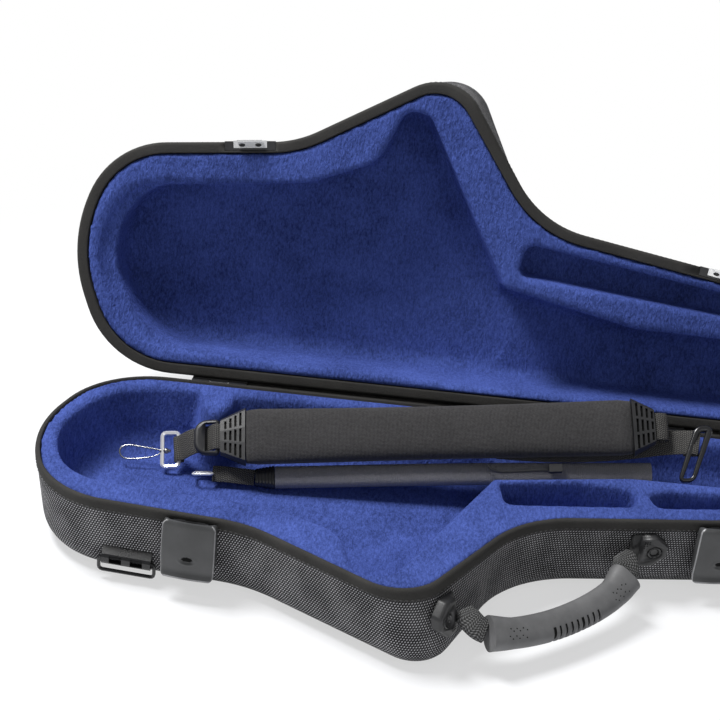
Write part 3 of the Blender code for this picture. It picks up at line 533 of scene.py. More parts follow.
def repeated(name, spots, stamp, finish, body, size=1.0):  # spots of (place, facing, run), millimetres
    mesh = bpy.data.meshes.new(name)
    mesh.from_pydata([tuple(Vector(place) * mm) for place, _, _ in spots], [], [])
    for label, index in (("facing", 1), ("run", 2)):
        values = mesh.attributes.new(label, "FLOAT_VECTOR", "POINT")
        values.data.foreach_set("vector", [c for spot in spots for c in Vector(spot[index])])
    piece = bpy.data.objects.new(name, mesh)
    bpy.context.scene.collection.objects.link(piece)
    tree, named = repeatTree(name + "Tree", finish)
    modifier = piece.modifiers.new("repeat", "NODES")
    modifier.node_group = tree
    modifier[named["Stamp"]], modifier[named["Size"]] = stamp, size
    settled(piece)
    piece.data.shade_smooth()
    placed(piece, body)


def stampOf(name, profile, steps, stretch=1.0):  # a small turned shape, stretched along its run
    rings = turnedRings(lambda x, y, n: Vector((x * stretch, y, n)), profile, steps)
    return fromRings(name, rings, "black_plastic")


# The two halves share one outline; corners are (x, y, radius) in millimetres.
case = {
    "outline": [(-290.7, 100, 110), (-333.4, -5.4, 134.8), (-301.8, -96.6, 97.4), (-143, -113.7, 96.6),
                (-13.7, -190.4, 42.3), (76.3, -65.3, 93.8), (328, -25.2, 46), (328, 100, 52)],
    "bellShift": (28.0, -14.0), "draft": 8.0, "edge": 22.0, "squareBack": 0.7,
    "rim": 74.0, "gap": 0.6, "lidDepth": 78.0, "hinge": (104.6, 68.3), "open": 108.0,
    "bandHeight": 10.5, "linerGap": 7.8, "steps": 14,
}


def caseOutline(share, back=0.0):
    corners = list(case["outline"])
    x, y, radius = corners[4]
    corners[4] = (x + case["bellShift"][0] * share, y + case["bellShift"][1] * share, radius)
    for i in (0, 7):
        x, y, radius = corners[i]
        corners[i] = (x, y + case["draft"] * share + back, radius)
    points = roundedOutline(corners, case["steps"])
    filled = []
    for i, (a, b) in enumerate(zip(points, points[1:] + points[:1])):
        cuts = 1 if (i + 1) % (case["steps"] + 1) else 8  # straight runs get points too
        filled += [a.lerp(b, k / cuts) for k in range(cuts)]
    return filled


def inBase(x, y, down):
    return Vector((x, y, case["rim"] - down))


def inLid(x, y, down):
    y0, z0 = case["hinge"]
    turn = Matrix.Rotation(-math.radians(case["open"]), 3, "X")
    return turn @ Vector((x, y - y0, case["rim"] + case["gap"] + down - z0)) + Vector((0, y0, z0))


halves = {"base": {"place": inBase, "depth": case["rim"], "wall": 6.4, "band": 3.4},
          "lid": {"place": inLid, "depth": case["lidDepth"], "wall": 4.4, "band": 8.6}}


def halfRings(half, levels):  # at (depth, inset, further inset where the wall turns into the flat)
    place, depth = halves[half]["place"], halves[half]["depth"]
    rings = []
    for down, gap, turned in levels:
        share = down / depth
        outline = caseOutline(share, case["squareBack"] * turned)
        outline = insetOutline(outline, gap + case["draft"] * share + turned)
        rings.append([place(p.x, p.y, down) for p in outline])
    return rings


def turnLevels(half, gap, steps):
    start, radius = halves[half]["depth"] - case["edge"], case["edge"] - gap
    turns = [math.pi / 2 * k / steps for k in range(steps + 1)]
    return [(start + radius * math.sin(t), gap, radius * (1 - math.cos(t))) for t in turns]


def halfCover(half):
    top, wall = case["bandHeight"] - 0.6, halves[half]["wall"]
    height = halves[half]["depth"] - case["edge"] - top

    def ringsAt(gap, steps):
        wallLevels = [(top + height * k / 5, gap, 0.0) for k in range(5)]
        return halfRings(half, wallLevels + turnLevels(half, gap, steps))

    rings = ringsAt(wall, 3)[::-1] + ringsAt(0.0, 9)
    fromRings(half + "Cover", rings, "woven_cover", half, half + "_shell", sharp=50, start=frontLeft())


def frontLeft():  # outline point on the front wall's left stretch
    outline = caseOutline(0.5)
    return min(range(len(outline)), key=lambda i: (outline[i] - Vector((-215.0, -106.0))).length)


def rimBand(half):
    width, height = halves[half]["band"], case["bandHeight"]
    profile = [(width, 0.4), (width, height), (0.6, height), (0, height - 0.5), (-0.5, height - 1.5),
               (-0.8, height - 3.2), (-0.9, 5.4), (-0.8, 3.2), (-0.4, 1.6), (0.3, 0.6), (1.3, 0.1), (2, 0),
               (width - 1, 0), (width - 0.4, 0.1)]
    rings = halfRings(half, [(down, inward, 0.0) for inward, down in profile])
    fromRings(half + "Band", rings, "rim_binding", half, half + "_binding", sharp=60, loop=True,
              start=frontLeft())


for make in (halfCover, rimBand):
    for half in halves:
        make(half)

# Strip of cloth behind the hinge line, from the base's back to the lid's
crossing = {"spans": ((-171, 176), (224, 278)), "thick": 0.9,
            "path": [(100.7, 59), (101.9, 63), (104.2, 65), (108.5, 65.9), (113.5, 66.4), (118.5, 66.6),
                     (124, 65.4)]}


def backStrip(name, low, high):
    path = smoothRoute([Vector((0, y, z)) for y, z in crossing["path"]], 25)
    under = [p + Vector((0, (b - a).z, -(b - a).y)).normalized() * crossing["thick"]
             for a, p, b in zip(path[:1] + path, path, path[1:] + path[-1:])]
    outline = path + under[::-1]
    rings = [[Vector((low + (high - low) * k / 24, p.y, p.z)) for p in outline] for k in range(25)]
    piece = fromRings(name, rings, "rim_binding", sharp=50)
    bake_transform(piece)


for side, (low, high) in zip(("Long", "Short"), crossing["spans"]):
    backStrip("backStrip" + side, low, high)

seam = {"down": 8.4, "proud": 0.72, "pitch": 4.4}
stitchStamp = stampOf("stitch", [(0.02, -0.38), (0.24, -0.3), (0.38, 0.0), (0.24, 0.3), (0.02, 0.38)], 8, 3.9)


def bandSeam(half):
    loop = halfRings(half, [(seam["down"], -seam["proud"], 0.0)])[0]
    loop.append(loop[0])
    place = halves[half]["place"]
    total = sum((a - b).length for a, b in zip(loop, loop[1:]))
    spots = smoothRoute(loop, int(total / seam["pitch"]) + 1)
    out = place(0, 0, 1) - place(0, 0, 0)
    found = [(spot, (b - a).cross(out).normalized(), (b - a).normalized())
             for a, spot, b in zip(spots[-2:-1] + spots[:-1], spots[:-1], spots[1:])]
    repeated(half + "Seam", found, stitchStamp, seamThread, half)


for half in halves:
    bandSeam(half)
bpy.data.objects.remove(stitchStamp)
print("covers and bands ready")

# Hollows: outline at the rim and at the floor, depth, lip and floor rounding
bodyRim = [(-276, 84, 80), (-316, 0, 100), (-290, -66, 52), (-128, -80, 60), (-70, -104, 34), (-54, -160, 14),
           (-27, -153, 15), (50, -8, 26), (74, 84, 20)]
trough = [(6, -14, 4), (60, -4, 40), (168, 18, 60), (304, 20, 26), (304, 84, 26), (6, 84, 4)]
neckPocket = [(56, -11, 7), (61, -44, 7), (166, -28, 10), (173, -4, 9), (126, 1.5, 16)]
mouthpiecePocket = [(180, -8, 6), (186, -26, 7), (290, -8, 10), (290, 7, 7), (200, 1.5, 9)]
lidPocket = [(61, -18, 8), (66, -47, 9), (290, -15, 10), (292, 4, 8)]


def shrunk(corners, by):
    area = sum(a[0] * b[1] - b[0] * a[1] for a, b in zip(corners, corners[1:] + corners[:1]))
    side = 1 if area > 0 else -1
    moved = []
    for i, (x, y, radius) in enumerate(corners):
        here = Vector((x, y))
        first = (here - Vector(corners[i - 1][:2])).normalized()
        second = (Vector(corners[(i + 1) % len(corners)][:2]) - here).normalized()
        left, right = Vector((-first.y, first.x)) * side, Vector((-second.y, second.x)) * side
        spot = here + (left + right) * by / (1 + left.dot(right))
        moved.append((spot.x, spot.y, max(radius - by, 2.0)))
    return moved


hollows = {
    "base": [
        (bodyRim, [(-262, 62, 64), (-290, 0, 80), (-266, -46, 40), (-126, -60, 50), (-62, -86, 32),
                   (-51, -140, 12), (-31, -134, 12), (36, 2, 24), (54, 62, 16)], 60, 6, 22),
        (trough, shrunk(trough, 15), 38, 6, 16),
        (neckPocket, shrunk(neckPocket, 5), 34, 2.5, 8),
        (mouthpiecePocket, shrunk(mouthpiecePocket, 3.5), 34, 2.5, 6)],
    "lid": [
        (bodyRim[:3] + [(-128, -77, 58), (-72, -100, 33), (-51, -149, 13), (-31, -143, 14), (47, -6, 25),
                        (70, 80, 19)],
         [(-258, 68, 64), (-297, 0, 88), (-273, -57, 46), (-128, -75, 57), (-71, -98, 32), (-50.5, -147, 12),
          (-31.5, -141, 13), (46, -5, 24), (69, 78, 18)], 12, 4, 10),
        ([(-256, 79, 70), (-299, 0, 92), (-275, -63, 50)] + bodyRim[3:5]
         + [(-50, -152.8, 14), (-28.6, -147, 15)] + bodyRim[7:],
         [(-246, 66, 62), (-288, 0, 84), (-266, -56, 42), (-127, -72, 52), (-62, -94, 28), (-50.4, -146, 12),
          (-30.6, -140, 12), (42, 0, 22), (62, 68, 16)], 66, 2.6, 14),
        (trough, [(x, y + 8 if y > 60 else y, r) for x, y, r in shrunk(trough, 16)], 63, 5.5, 22),
        (lidPocket, shrunk(lidPocket, 5), 34, 3, 9)],
}
plush = {"voxel": 2.6, "soften": 2}


def hollowRings(rim, floor, depth, lip, bottom):
    def between(share):
        corners = [tuple(u + (v - u) * share for u, v in zip(a, b)) for a, b in zip(rim, floor)]
        return roundedOutline(corners, 10)

    edge, turns = between(0), [(1 - math.cos(t), math.sin(t)) for t in [math.pi / 2 * k / 6 for k in range(7)]]
    rings = [(-8.0, insetOutline(edge, -lip))]
    rings += [(1.0 + lip * far, insetOutline(edge, -lip * (1 - near))) for far, near in turns]
    return rings + [(depth - bottom + bottom * near, between(0.14 + 0.86 * far)) for far, near in turns]


def linerLevels(half):
    gap, width, height = case["linerGap"], halves[half]["band"], case["bandHeight"]
    step = height + (0.2 if width > gap else -0.4)
    levels = [(0.8, width + 0.6, 0.0), (step, width + 0.6, 0.0), (step + 0.3, gap, 0.0)]
    return levels + turnLevels(half, gap, 6)


def plushLining(half):
    place = halves[half]["place"]

    def hollow(spec):
        rings = [[place(p.x, p.y, down) for p in outline] for down, outline in hollowRings(*spec)]
        return fromRings("hollow", rings, "blue_plush")

    piece = fromRings(half + "Plush", halfRings(half, linerLevels(half)), "blue_plush")
    used = cutters(piece, [hollow(spec) for spec in hollows[half]])
    if half == "base":
        used += cutters(piece, [rearRib()], "UNION")
    voxels = piece.modifiers.new("voxels", "REMESH")
    voxels.mode, voxels.voxel_size, voxels.use_smooth_shade = "VOXEL", plush["voxel"] * mm, True
    soften = piece.modifiers.new("soften", "SMOOTH")
    soften.factor, soften.iterations = 0.5, plush["soften"]
    settled(piece)
    removed(used)
    piece.data.materials.clear()
    piece.data.materials.append(finishes["blue_plush"])
    placed(piece, half, half + "_liner")


rib = {"foot": (-187.0, 90.0, 11.0), "tall": 61.6, "wide": (24.0, 15.0), "reach": (42.0, 34.0)}


def rearRib():  # half cone at the base's back wall, narrower at its top
    x, y, z = rib["foot"]
    turns = [math.tau * k / 48 for k in range(48)]
    rings = []
    for share in [k / 8 for k in range(8)] + [0.93, 0.97, 1.0]:
        crown = 1.0 - 0.18 * max(0.0, (share - 0.9) / 0.1) ** 2
        wide, reach = (a + (b - a) * share for a, b in (rib["wide"], rib["reach"]))
        rings.append([Vector((x + wide * crown * math.cos(t), y + min(reach * crown * math.sin(t), 0.0),
                              z + rib["tall"] * share)) for t in turns])
    return fromRings("rib", rings, "blue_plush")


for half in halves:
    plushLining(half)
print("linings ready")


# Carrying strap. Its pad sets a frame: a along it, b across it to the front, c out of its upper face.
pad = {"from": Vector((-158.0, 41.0, 57.0)), "to": Vector((168.0, 60.0, 95.2)), "tilt": 42.0,
       "half": (25.0, 9.0)}
padLength = (pad["to"] - pad["from"]).length
padAlong = (pad["to"] - pad["from"]).normalized()
tilt = math.radians(pad["tilt"])
padAcross = padAlong.cross(Vector((0, -math.sin(tilt), math.cos(tilt)))).normalized()
padUp = padAcross.cross(padAlong)


def padPoint(a, b, c=0.0):
    return pad["from"] + padAlong * a + padAcross * b + padUp * c


puff = {"pressure": 3.0, "stiff": 12.0, "frames": 20, "most": 2.6}


def puffed(piece, held):  # the cover swells as cloth does, with its ends held in the caps
    rest = [vertex.co.copy() for vertex in piece.data.vertices]
    piece.vertex_groups.new(name="held").add(held, 1.0, "REPLACE")
    cloth = piece.modifiers.new("cover", "CLOTH")
    settings = cloth.settings
    settings.quality, settings.mass, settings.vertex_group_mass = 6, 0.25, "held"
    settings.tension_stiffness = settings.compression_stiffness = settings.shear_stiffness = puff["stiff"]
    settings.bending_stiffness = 0.4
    settings.use_pressure, settings.uniform_pressure_force = True, puff["pressure"]
    settings.effector_weights.gravity = 0.0
    cloth.point_cache.frame_start, cloth.point_cache.frame_end = 1, puff["frames"]
    for frame in range(1, puff["frames"] + 1):
        bpy.context.scene.frame_set(frame)
    settled(piece)
    bpy.context.scene.frame_set(1)
    most = puff["most"] * mm
    for vertex, start in zip(piece.data.vertices, rest):  # no point moves further than the cover gives
        moved = vertex.co - start
        vertex.co = start + moved * (most / (most + moved.length))
    print("pad swelled by", round(max((v.co - s).length for v, s in zip(piece.data.vertices, rest)) / mm, 2))


def shoulderPad():
    rows, sides = 120, 48
    route = smoothRoute([padPoint(0, 0), padPoint(padLength * 0.5, 0, -1.5), padPoint(padLength, 0)], rows)

    def size(share):
        full = min(1.0, min(share, 1 - share) / 0.03)
        wide, high = pad["half"]
        return wide * (0.95 + 0.05 * full) - 0.6, (high - 0.7) * (0.62 + 0.38 * full ** 0.6)

    piece = fromRings("shoulderPad", sweepRings(route, size, padUp, sides, 2.8), "strap_pad")
    puffed(piece, [k for k in range(rows * sides) if not 3 * sides <= k < (rows - 3) * sides])
    placed(piece, "base", "shoulder_pad")


sleeve = {"from": Vector((-130.0, 31.0, 25.5)), "to": Vector((190.0, 50.0, 57.0)), "half": (9.6, 7.6),
          "rib": 1.6, "ridge": 0.28}
sleeveAlong = (sleeve["to"] - sleeve["from"]).normalized()


def lowerSleeve():
    start, end = sleeve["from"], sleeve["to"]
    count = int((end - start).length / sleeve["rib"]) * 4 + 1
    route = smoothRoute([start, start.lerp(end, 0.5) + Vector((0, 0, 1.6)), end], count)

    def size(share):
        ridge = sleeve["ridge"] * (abs(math.sin(share * (count - 1) / 4 * math.pi)) - 1)
        return [half + ridge for half in sleeve["half"]]

    rings = sweepRings(route, size, padUp, 24, 2.4)
    piece = fromRings("lowerSleeve", rings, "strap_pad", "base", "lower_sleeve", ribCloth)


def flatStrap(name, node, route, width, thickness=2.2):
    rings = sweepRings(smoothRoute(route, 48), lambda share: (width / 2, thickness / 2), padUp, 20, 8.0)
    fromRings(name, rings, "strap_webbing", "base", node, sharp=50)


def byPad(route, start=0.0):  # a route in the pad's frame
    return [padPoint(start + a, b, c) for a, b, c in route]


shoulderPad()
lowerSleeve()
flatStrap("leftTab", "strap_tab_left",
          byPad([(-22.2, 0, 3.4), (-25, 0, 4.5), (-27.5, 0, 3.2), (-31, 0, -0.6), (-34.5, 0, -4),
                 (-39, 0.3, -5), (-44.5, 0.8, -6), (-50, 1.8, -9.4), (-55, 2.8, -14.2),
                 (-58.2, 3.4, -17), (-60.8, 3.8, -16.8), (-63, 4, -18.8), (-62.9, 4, -21.4),
                 (-60.2, 4, -23.1), (-57, 3.6, -21.8)]), 22, 1.9)

nose = {"outline": [(-22.8, -16, 3.4), (-44.5, -15, 13), (-44.5, 15, 13), (-22.8, 16, 3.4)],
        "levels": [(-2.6, 1.2), (-1.9, 0.3), (-0.6, 0), (1.2, 0.1), (2.2, 0.7), (2.9, 1.5), (3.2, 2.6)],
        "mouth": ((-35, -12.6, -8), (-26, 12.6, 8))}


def padNose():  # rounded end of the pad's loop
    outline = roundedOutline(nose["outline"], 12)
    rings = [[padPoint(p.x, p.y, c) for p in insetOutline(outline, inset)] for c, inset in nose["levels"]]
    piece = fromRings("padNose", rings, "black_plastic", "base", sharp=40)
    cutAway(piece, [block(*nose["mouth"], padPoint)])
    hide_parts("pad_end_loop")


padNose()

capCore = {"half": (24.2, 4.4), "loss": (9.8, 1.8)}


def capFill(side, start, toward, length):  # near-black core behind the cap's slots, painted shade seen through them
    stations = [padPoint(start + toward * length * k / 12, 0) for k in range(13)]

    def size(share):
        return [half - loss * share for half, loss in zip(capCore["half"], capCore["loss"])]

    rings = sweepRings(stations, size, padUp, 32, 5.0)
    fromRings("capFill" + side, rings, "black_plastic", "base", finish=dotsAndPaintedShade, sharp=40)


capFill("Left", -1.2, -1, 20.2)
capFill("Right", padLength + 1.2, 1, 17.6)

slide = {"half": (8.2, 7.4), "corner": 3.0, "wire": 1.25, "lean": 27.0}


def slideRing():  # small ring at the sleeve's strap, lying almost flat
    low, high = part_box("sleeve_slide_ring")
    centre = (Vector(low) + Vector(high)) / 2 / mm
    lean = math.radians(slide["lean"])
    back = Vector((0, math.cos(lean), -math.sin(lean)))
    route = [centre + sleeveAlong * p.x + back * p.y for p in oblong(*slide["half"], slide["corner"])]
    turns = [math.tau * k / 12 for k in range(12)]
    section = [(slide["wire"] * math.cos(t), slide["wire"] * math.sin(t)) for t in turns]
    rings = loopRings(route, sleeveAlong.cross(back).normalized(), lambda point: section)
    fromRings("slideRing", rings, "bright_steel", "base", "sleeve_slide_ring", loop=True)


def oblong(wide, deep, corner):
    return roundedOutline([(x * wide, y * deep, corner) for x, y in ((-1, -1), (1, -1), (1, 1), (-1, 1))], 8)


hook = {"level": -20, "wires": (0.7, 0.5),
        "route": [(-73.5, 4.8), (-80, 3.2), (-87.4, 1.6), (-95, 0), (-101.5, -1.2), (-107, -0.8), (-110.3, 1.6),
                  (-111, 4.8), (-109.6, 8.2), (-106, 10.6), (-100, 11.2), (-92, 11), (-84.5, 10.2)],
        "gate": [(-84.5, 10.2), (-79, 8.6), (-74.6, 6)],
        "swivel": [(0.05, 5.4), (1.3, 5.2), (2.1, 4.2), (1.7, 3), (1.2, 2.4), (1.9, 1.6), (2.5, 0.4),
                   (2.5, -1), (1.8, -2), (1.2, -2.8), (1.5, -4), (0.05, -4.4)]}


def snapHook():
    def wire(name, route, count, radius, sides):
        path = smoothRoute([padPoint(a, b, hook["level"]) for a, b in route], count)
        rings = sweepRings(path, lambda share: (radius, radius), padUp, sides)
        return fromRings(name, rings, "bright_steel", finish=wireSteel)

    thick, thin = hook["wires"]
    pieces = [wire("snapHook", hook["route"], 110, thick, 12), wire("gate", hook["gate"], 16, thin, 10)]
    swivel = turnedRings(lambda x, y, n: padPoint(-71.0 - n, 4.9 + x, hook["level"] + y), hook["swivel"], 20)
    pieces.append(fromRings("swivel", swivel, "bright_steel", finish=wireSteel))
    placed(joined(pieces), "base", "snap_hook_wire")


snapHook()

ferrule = {"start": 0.4, "long": 16.8, "half": (9.4, 5.8), "loss": (2.6, 2.0), "ribs": 6, "ridge": 0.75}


def sleeveCap():  # ribbed end of the sleeve
    route = [sleeve["from"] - sleeveAlong * (ferrule["start"] + ferrule["long"] * k / 48) for k in range(49)]

    def size(share):
        ridge = ferrule["ridge"] * abs(math.sin(share * ferrule["ribs"] * math.pi)) ** 0.6
        return [half - loss * share + ridge for half, loss in zip(ferrule["half"], ferrule["loss"])]

    rings = sweepRings(route, size, padUp, 32, 3.4)
    fromRings("sleeveCap", rings, "black_plastic", "base", "sleeve_cap", glossBlack)


slideRing()
flatStrap("sleeveTab", "sleeve_tab", [sleeve["from"] - sleeveAlong * d + Vector((0, 0, rise)) for d, rise in
                                      ((17.8, 0), (30, 1.8), (42, 3.6), (54, 4.6))], 14)
flatStrap("rightTab", "strap_tab_right",
          byPad([(17.6, 0, 0.8), (22, 0, 1.2), (26, 0, 0.8), (29.4, 0, -0.8), (30.6, 0, -3.2), (29.2, 0, -5.4),
                 (25, 0, -6.4)], padLength), 23.6)
flatStrap("longStrap", "long_strap",
          byPad([(214, 11, -11.8), (250, 14.6, -11.8), (286, 16, -11.8), (325, 14.4, -11.6),
                 (352, 12, -11.2), (370, 11.4, -10.4), (379, 12.2, -8.6), (383.4, 13, -6.2),
                 (386.6, 13.6, -8.6), (384, 13.4, -11.8), (374, 12.4, -13.2)]), 21)
sleeveCap()

buckle = {"centre": (383.0, 23.0, -9.5), "half": (5.5, 22.0), "corner": 4.0, "slant": 0.40, "dip": 0.08,
          "thick": (2.3, 3.0), "taper": 0.011}


def endBuckle():  # broad moulded loop at the strap's free end
    a, b, c = buckle["centre"]
    route = [padPoint(a + p.x - buckle["slant"] * (p.y + 1), b + p.y, c - buckle["dip"] * p.y)
             for p in oblong(*buckle["half"], buckle["corner"])]
    out, up = buckle["thick"]

    def section(point):
        stout = 1.0 - buckle["taper"] * (point - padPoint(a, b, c)).dot(padAcross)
        return [(out * stout * x * bulge, up * stout * y * bulge) for x, y, bulge in roundSection(16, 4)]

    rings = loopRings(route, padUp, section)
    fromRings("endBuckle", rings, "black_plastic", "base", "strap_end_buckle", glossBlack, loop=True)


endBuckle()
print("strap ready")


# Handle: it hangs on a level axis between two brackets.
handle = {"from": Vector((28.9, -154.9, 47.0)), "to": Vector((158.0, -57.4, 47.0)), "drop": 36.0,
          "route": [(12, 24), (32, 30), (58, 34), (84, 35), (112, 33), (136, 28), (153, 20)],
          "half": (12.0, 8.6), "flare": (0.16, 0.72), "rows": 180, "sides": 40,
          "ribs": (0.36, 0.70, 9), "ribDepth": 1.3, "ribReach": 4.5}
along = (handle["to"] - handle["from"]).normalized()
span = (handle["to"] - handle["from"]).length
drop = math.radians(handle["drop"])
outward = Vector((along.y, -along.x, 0)) * math.cos(drop) - Vector((0, 0, math.sin(drop)))
overGrip = along.cross(outward)


def handlePoint(u, w, h=0.0):
    return handle["from"] + along * u + outward * w + overGrip * h


dotStamp = stampOf("dot", [(0.02, -0.7), (0.8, -0.6), (0.8, 0.05), (0.6, 0.12), (0.02, 0.14)], 10)


def handleGrip():
    stations = smoothRoute([Vector((*spot, 0)) for spot in handle["route"]], handle["rows"] + 1)
    path = [handlePoint(p.x, p.y) for p in stations]
    sides, (most, start) = handle["sides"], handle["flare"]

    def size(share):
        flare = 1.0 + most * max(0.0, (abs(share - 0.5) * 2 - start) / (1 - start))
        return [half * flare for half in handle["half"]]

    rings = sweepRings(path, size, overGrip, sides, 2.6)
    low, high, count = handle["ribs"]
    sunk = {}
    for i, (centre, ring) in enumerate(zip(path, rings)):
        share = (i / handle["rows"] - low) / (high - low)
        if 0 < share < 1 and math.sin(share * count * math.tau) > 0:
            for k, point in enumerate(ring):
                if (point - centre).dot(outward) > handle["ribReach"]:
                    ring[k] = point - outward * handle["ribDepth"]
                    sunk.setdefault(i, set()).add(k)
    piece = fromRings("handleGrip", rings, "grip_rubber", "handle", sharp=45)
    # the sunk grooves between the ribs take the near-black finish: painted shade in the grooves
    piece.data.materials.append(dotsAndPaintedShade)
    for polygon in piece.data.polygons:
        row, column = divmod(polygon.index, sides)
        if sunk.get(row) and sunk.get(row + 1) and {column, (column + 1) % sides} <= sunk[row]:
            polygon.material_index = 1
    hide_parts("handle_grip")
    dots = []
    for near, away in ((16, 34), (146, 164)):
        for k in range(12):
            i = near + (away - near) * (k % 6) // 5 + (k // 6) * 2
            ahead = (path[i + 1] - path[i - 1]).normalized()
            side = outward * 0.15 - overGrip * 0.72 + outward * (0.30 - 0.5 * (k // 6) + 0.12 * (k % 2))
            out = (side - ahead * side.dot(ahead)).normalized()
            ring = max(rings[i], key=lambda p: (p - path[i]).normalized().dot(out))
            dots.append((ring, out, ahead))
    repeated("gripDots", dots, dotStamp, dotsAndPaintedShade, "handle", 0.75)


def handleStrap(name, node, route, wide, high):
    path = smoothRoute([handlePoint(*p) for p in route], 30)

    def size(share):
        full = min(1.0, 0.62 + 1.6 * share)
        return wide * full, high * (0.46 + 0.36 * math.sin(math.pi * min(1.0, 0.1 + share * 0.9)))

    fromRings(name, sweepRings(path, size, overGrip, 32, 3.6), "strap_webbing", "handle", node, handleWeb)


handleGrip()
handleStrap("handleStrapLeft", "handle_strap_left",
            [(1, 0), (1.5, 8), (4.8, 16), (9.9, 21.8)], 10, 5.5)
handleStrap("handleStrapRight", "handle_strap_right",
            [(span - 2.2, 0), (span - 1.6, 6), (span - 3, 11.6), (span - 6.8, 17.5)], 11, 6.5)


def onWall(first, reach, level):
    share = (case["rim"] - level) / case["rim"]
    ends = [Vector(case["outline"][i][:2]) + (Vector(case["bellShift"]) * share if i == 4 else Vector((0, 0)))
            for i in (first, first + 1)]
    run = (ends[1] - ends[0]).normalized()
    return ends[0] + run * reach - Vector((run.y, -run.x)) * case["draft"] * share, run


def wallPlace(spot, run, lean=0.0, level=0.0):
    run = Vector((*run, 0)).normalized()
    out = Vector((run.y, -run.x, 0))
    start = Vector((*spot, 0))
    return lambda u, n, z: start + run * u + out * (n + lean * (z - level)) + Vector((0, 0, z))


bracket = {"left": (4, 50, -1), "right": (5, 89.6, 1), "level": 47, "boss": 19,
           "seat": [(6.4, 5), (6.4, 12)], "mouth": ((-8.4, 2.4, -16), (8.4, 10.8, 16)),
           "outline": [(0, -15, 2.6), (19, -15, 4), (30, -4, 5), (30, 6, 5), (19, 15, 4), (0, 13, 2.6)],
           "levels": [(0.6, 0), (6.2, 0), (7.7, 0.35), (8.6, 0.9), (9, 1.9)],
           "screw": [(6, 5.3), (6, 8), (5.7, 8.9), (5, 9.3), (4.2, 9), (3.6, 8), (3.2, 7.2),
                     (2.4, 6.9), (0.05, 6.9)]}


def bracketCap(side):
    first, reach, toward = bracket[side]
    level = bracket["level"]
    spot, run = onWall(first, reach, level)
    out, middle = Vector((run.y, -run.x)), toward * bracket["boss"]
    lean = (onWall(first, reach, level + 10)[0] - onWall(first, reach, level - 10)[0]).dot(out) / 20.0
    place = wallPlace(spot, run, lean, level)
    outline = roundedOutline(bracket["outline"], 6)
    rings = [[place(toward * p.x, n, level + p.y) for p in insetOutline(outline, inset)]
             for n, inset in bracket["levels"]]
    name = side.capitalize()
    piece = fromRings("bracket" + name, rings, "black_plastic", "base", sharp=35)
    seat, screw = (turnedRings(lambda x, y, n: place(middle + x, n, level + y), bracket[profile], 32)
                   for profile in ("seat", "screw"))
    mouth = block(*bracket["mouth"], lambda u, n, z: place(u - toward, n, level + z))
    cutAway(piece, [mouth, fromRings("seat", seat, "black_plastic")])
    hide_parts("handle_bracket_" + side)
    fromRings("screw" + name, screw, "black_plastic", "base", "handle_rivet_" + side, glossBlack, sharp=45)
    facing = place(0, 1, level) - place(0, 0, level)
    rows = [(u, z) for u in (9.4, 11.4, 13.4) for z in (11.2, 9.2, 7.2, 5.2)[:4 - int((u - 9) / 2)]]
    dots = [(place(toward * u, 9.0, level + z * toward), facing, run.to_3d()) for u, z in rows]
    repeated("bracketDots" + name, dots, dotStamp, dotsAndPaintedShade, "base", 0.8)


for side in ("left", "right"):
    bracketCap(side)
bpy.data.objects.remove(dotStamp)
print("handle ready")


# Latch levers, in wall coordinates: u along the wall, n out of it, z up.
lever = {"left": (-184.3, 2), "right": (238, 5), "half": 21, "crown": 1.2, "skin": 1.9, "flange": 1.7,
         "rows": 72, "columns": 56,
         "profile": [(9.6, -1.3), (9.9, -2.6), (10.6, -8), (11.3, -20), (11.4, -32), (10.9, -40),
                     (10.4, -45), (11.4, -48.5), (13, -51.5)],
         "dimple": (-34, 5.8, 3.5, 1.6), "flangeOff": 2.8, "flangeLeast": 2.3}


def frontWall(side, shift=0.0):  # the base's front wall at a lever
    x, first = lever[side]
    x += shift
    (x0, y0, _), (x1, y1, _) = case["outline"][first:first + 2]
    return wallPlace((x, y0 + (y1 - y0) * (x - x0) / (x1 - x0)), (x1 - x0, y1 - y0))


def leverSection(row, n0, z):  # one row of the plate: its outside, one flange, its inside, the other flange
    last, columns, thick, least = lever["rows"] - 1, lever["columns"], lever["flange"], lever["flangeLeast"]
    middle, wide, high, deep = lever["dimple"]
    top, low = max(0.0, 1 - row / 6), max(0.0, 1 - (last - row) / 5)
    half = lever["half"] - 3.0 * top ** 2.2 - 1.6 * low ** 2.2 + 0.5 * math.sin(math.pi * row / last)
    sink = 0.9 * top ** 2 + 0.5 * low ** 2
    flange = n0 - lever["flangeOff"]
    flange = flange if z > -38 else max(least, flange * (z + 44) / 6)
    flange = n0 - max(least, min(flange, least + (-1.0 - z) * 2.6))
    outer, inner = [], []
    for k in range(columns + 1):
        t = 2 * k / columns - 1
        edge = max(0.0, (abs(t) - 0.92) / 0.08)
        n, u = n0 + lever["crown"] * (1 - t * t), half * t
        far = math.hypot(u / wide, (z - middle) / high)
        inner.append((u * (half - thick) / half, n - lever["skin"] - sink - (0.5 if far < 1.1 else 0)))
        n -= 1.5 * edge ** 2.4 + sink
        if far < 1:
            n -= deep * (1 - far ** 4) * (1.0 if z > middle else 0.75)
        elif far < 1.5:
            n += 0.28 * math.sin(math.pi * (far - 1) / 0.5)
        outer.append((u, n))
    corners = [(u, flange) for u in (half, half - thick, thick - half, -half)]
    return outer + corners[:2] + inner[::-1] + corners[2:]


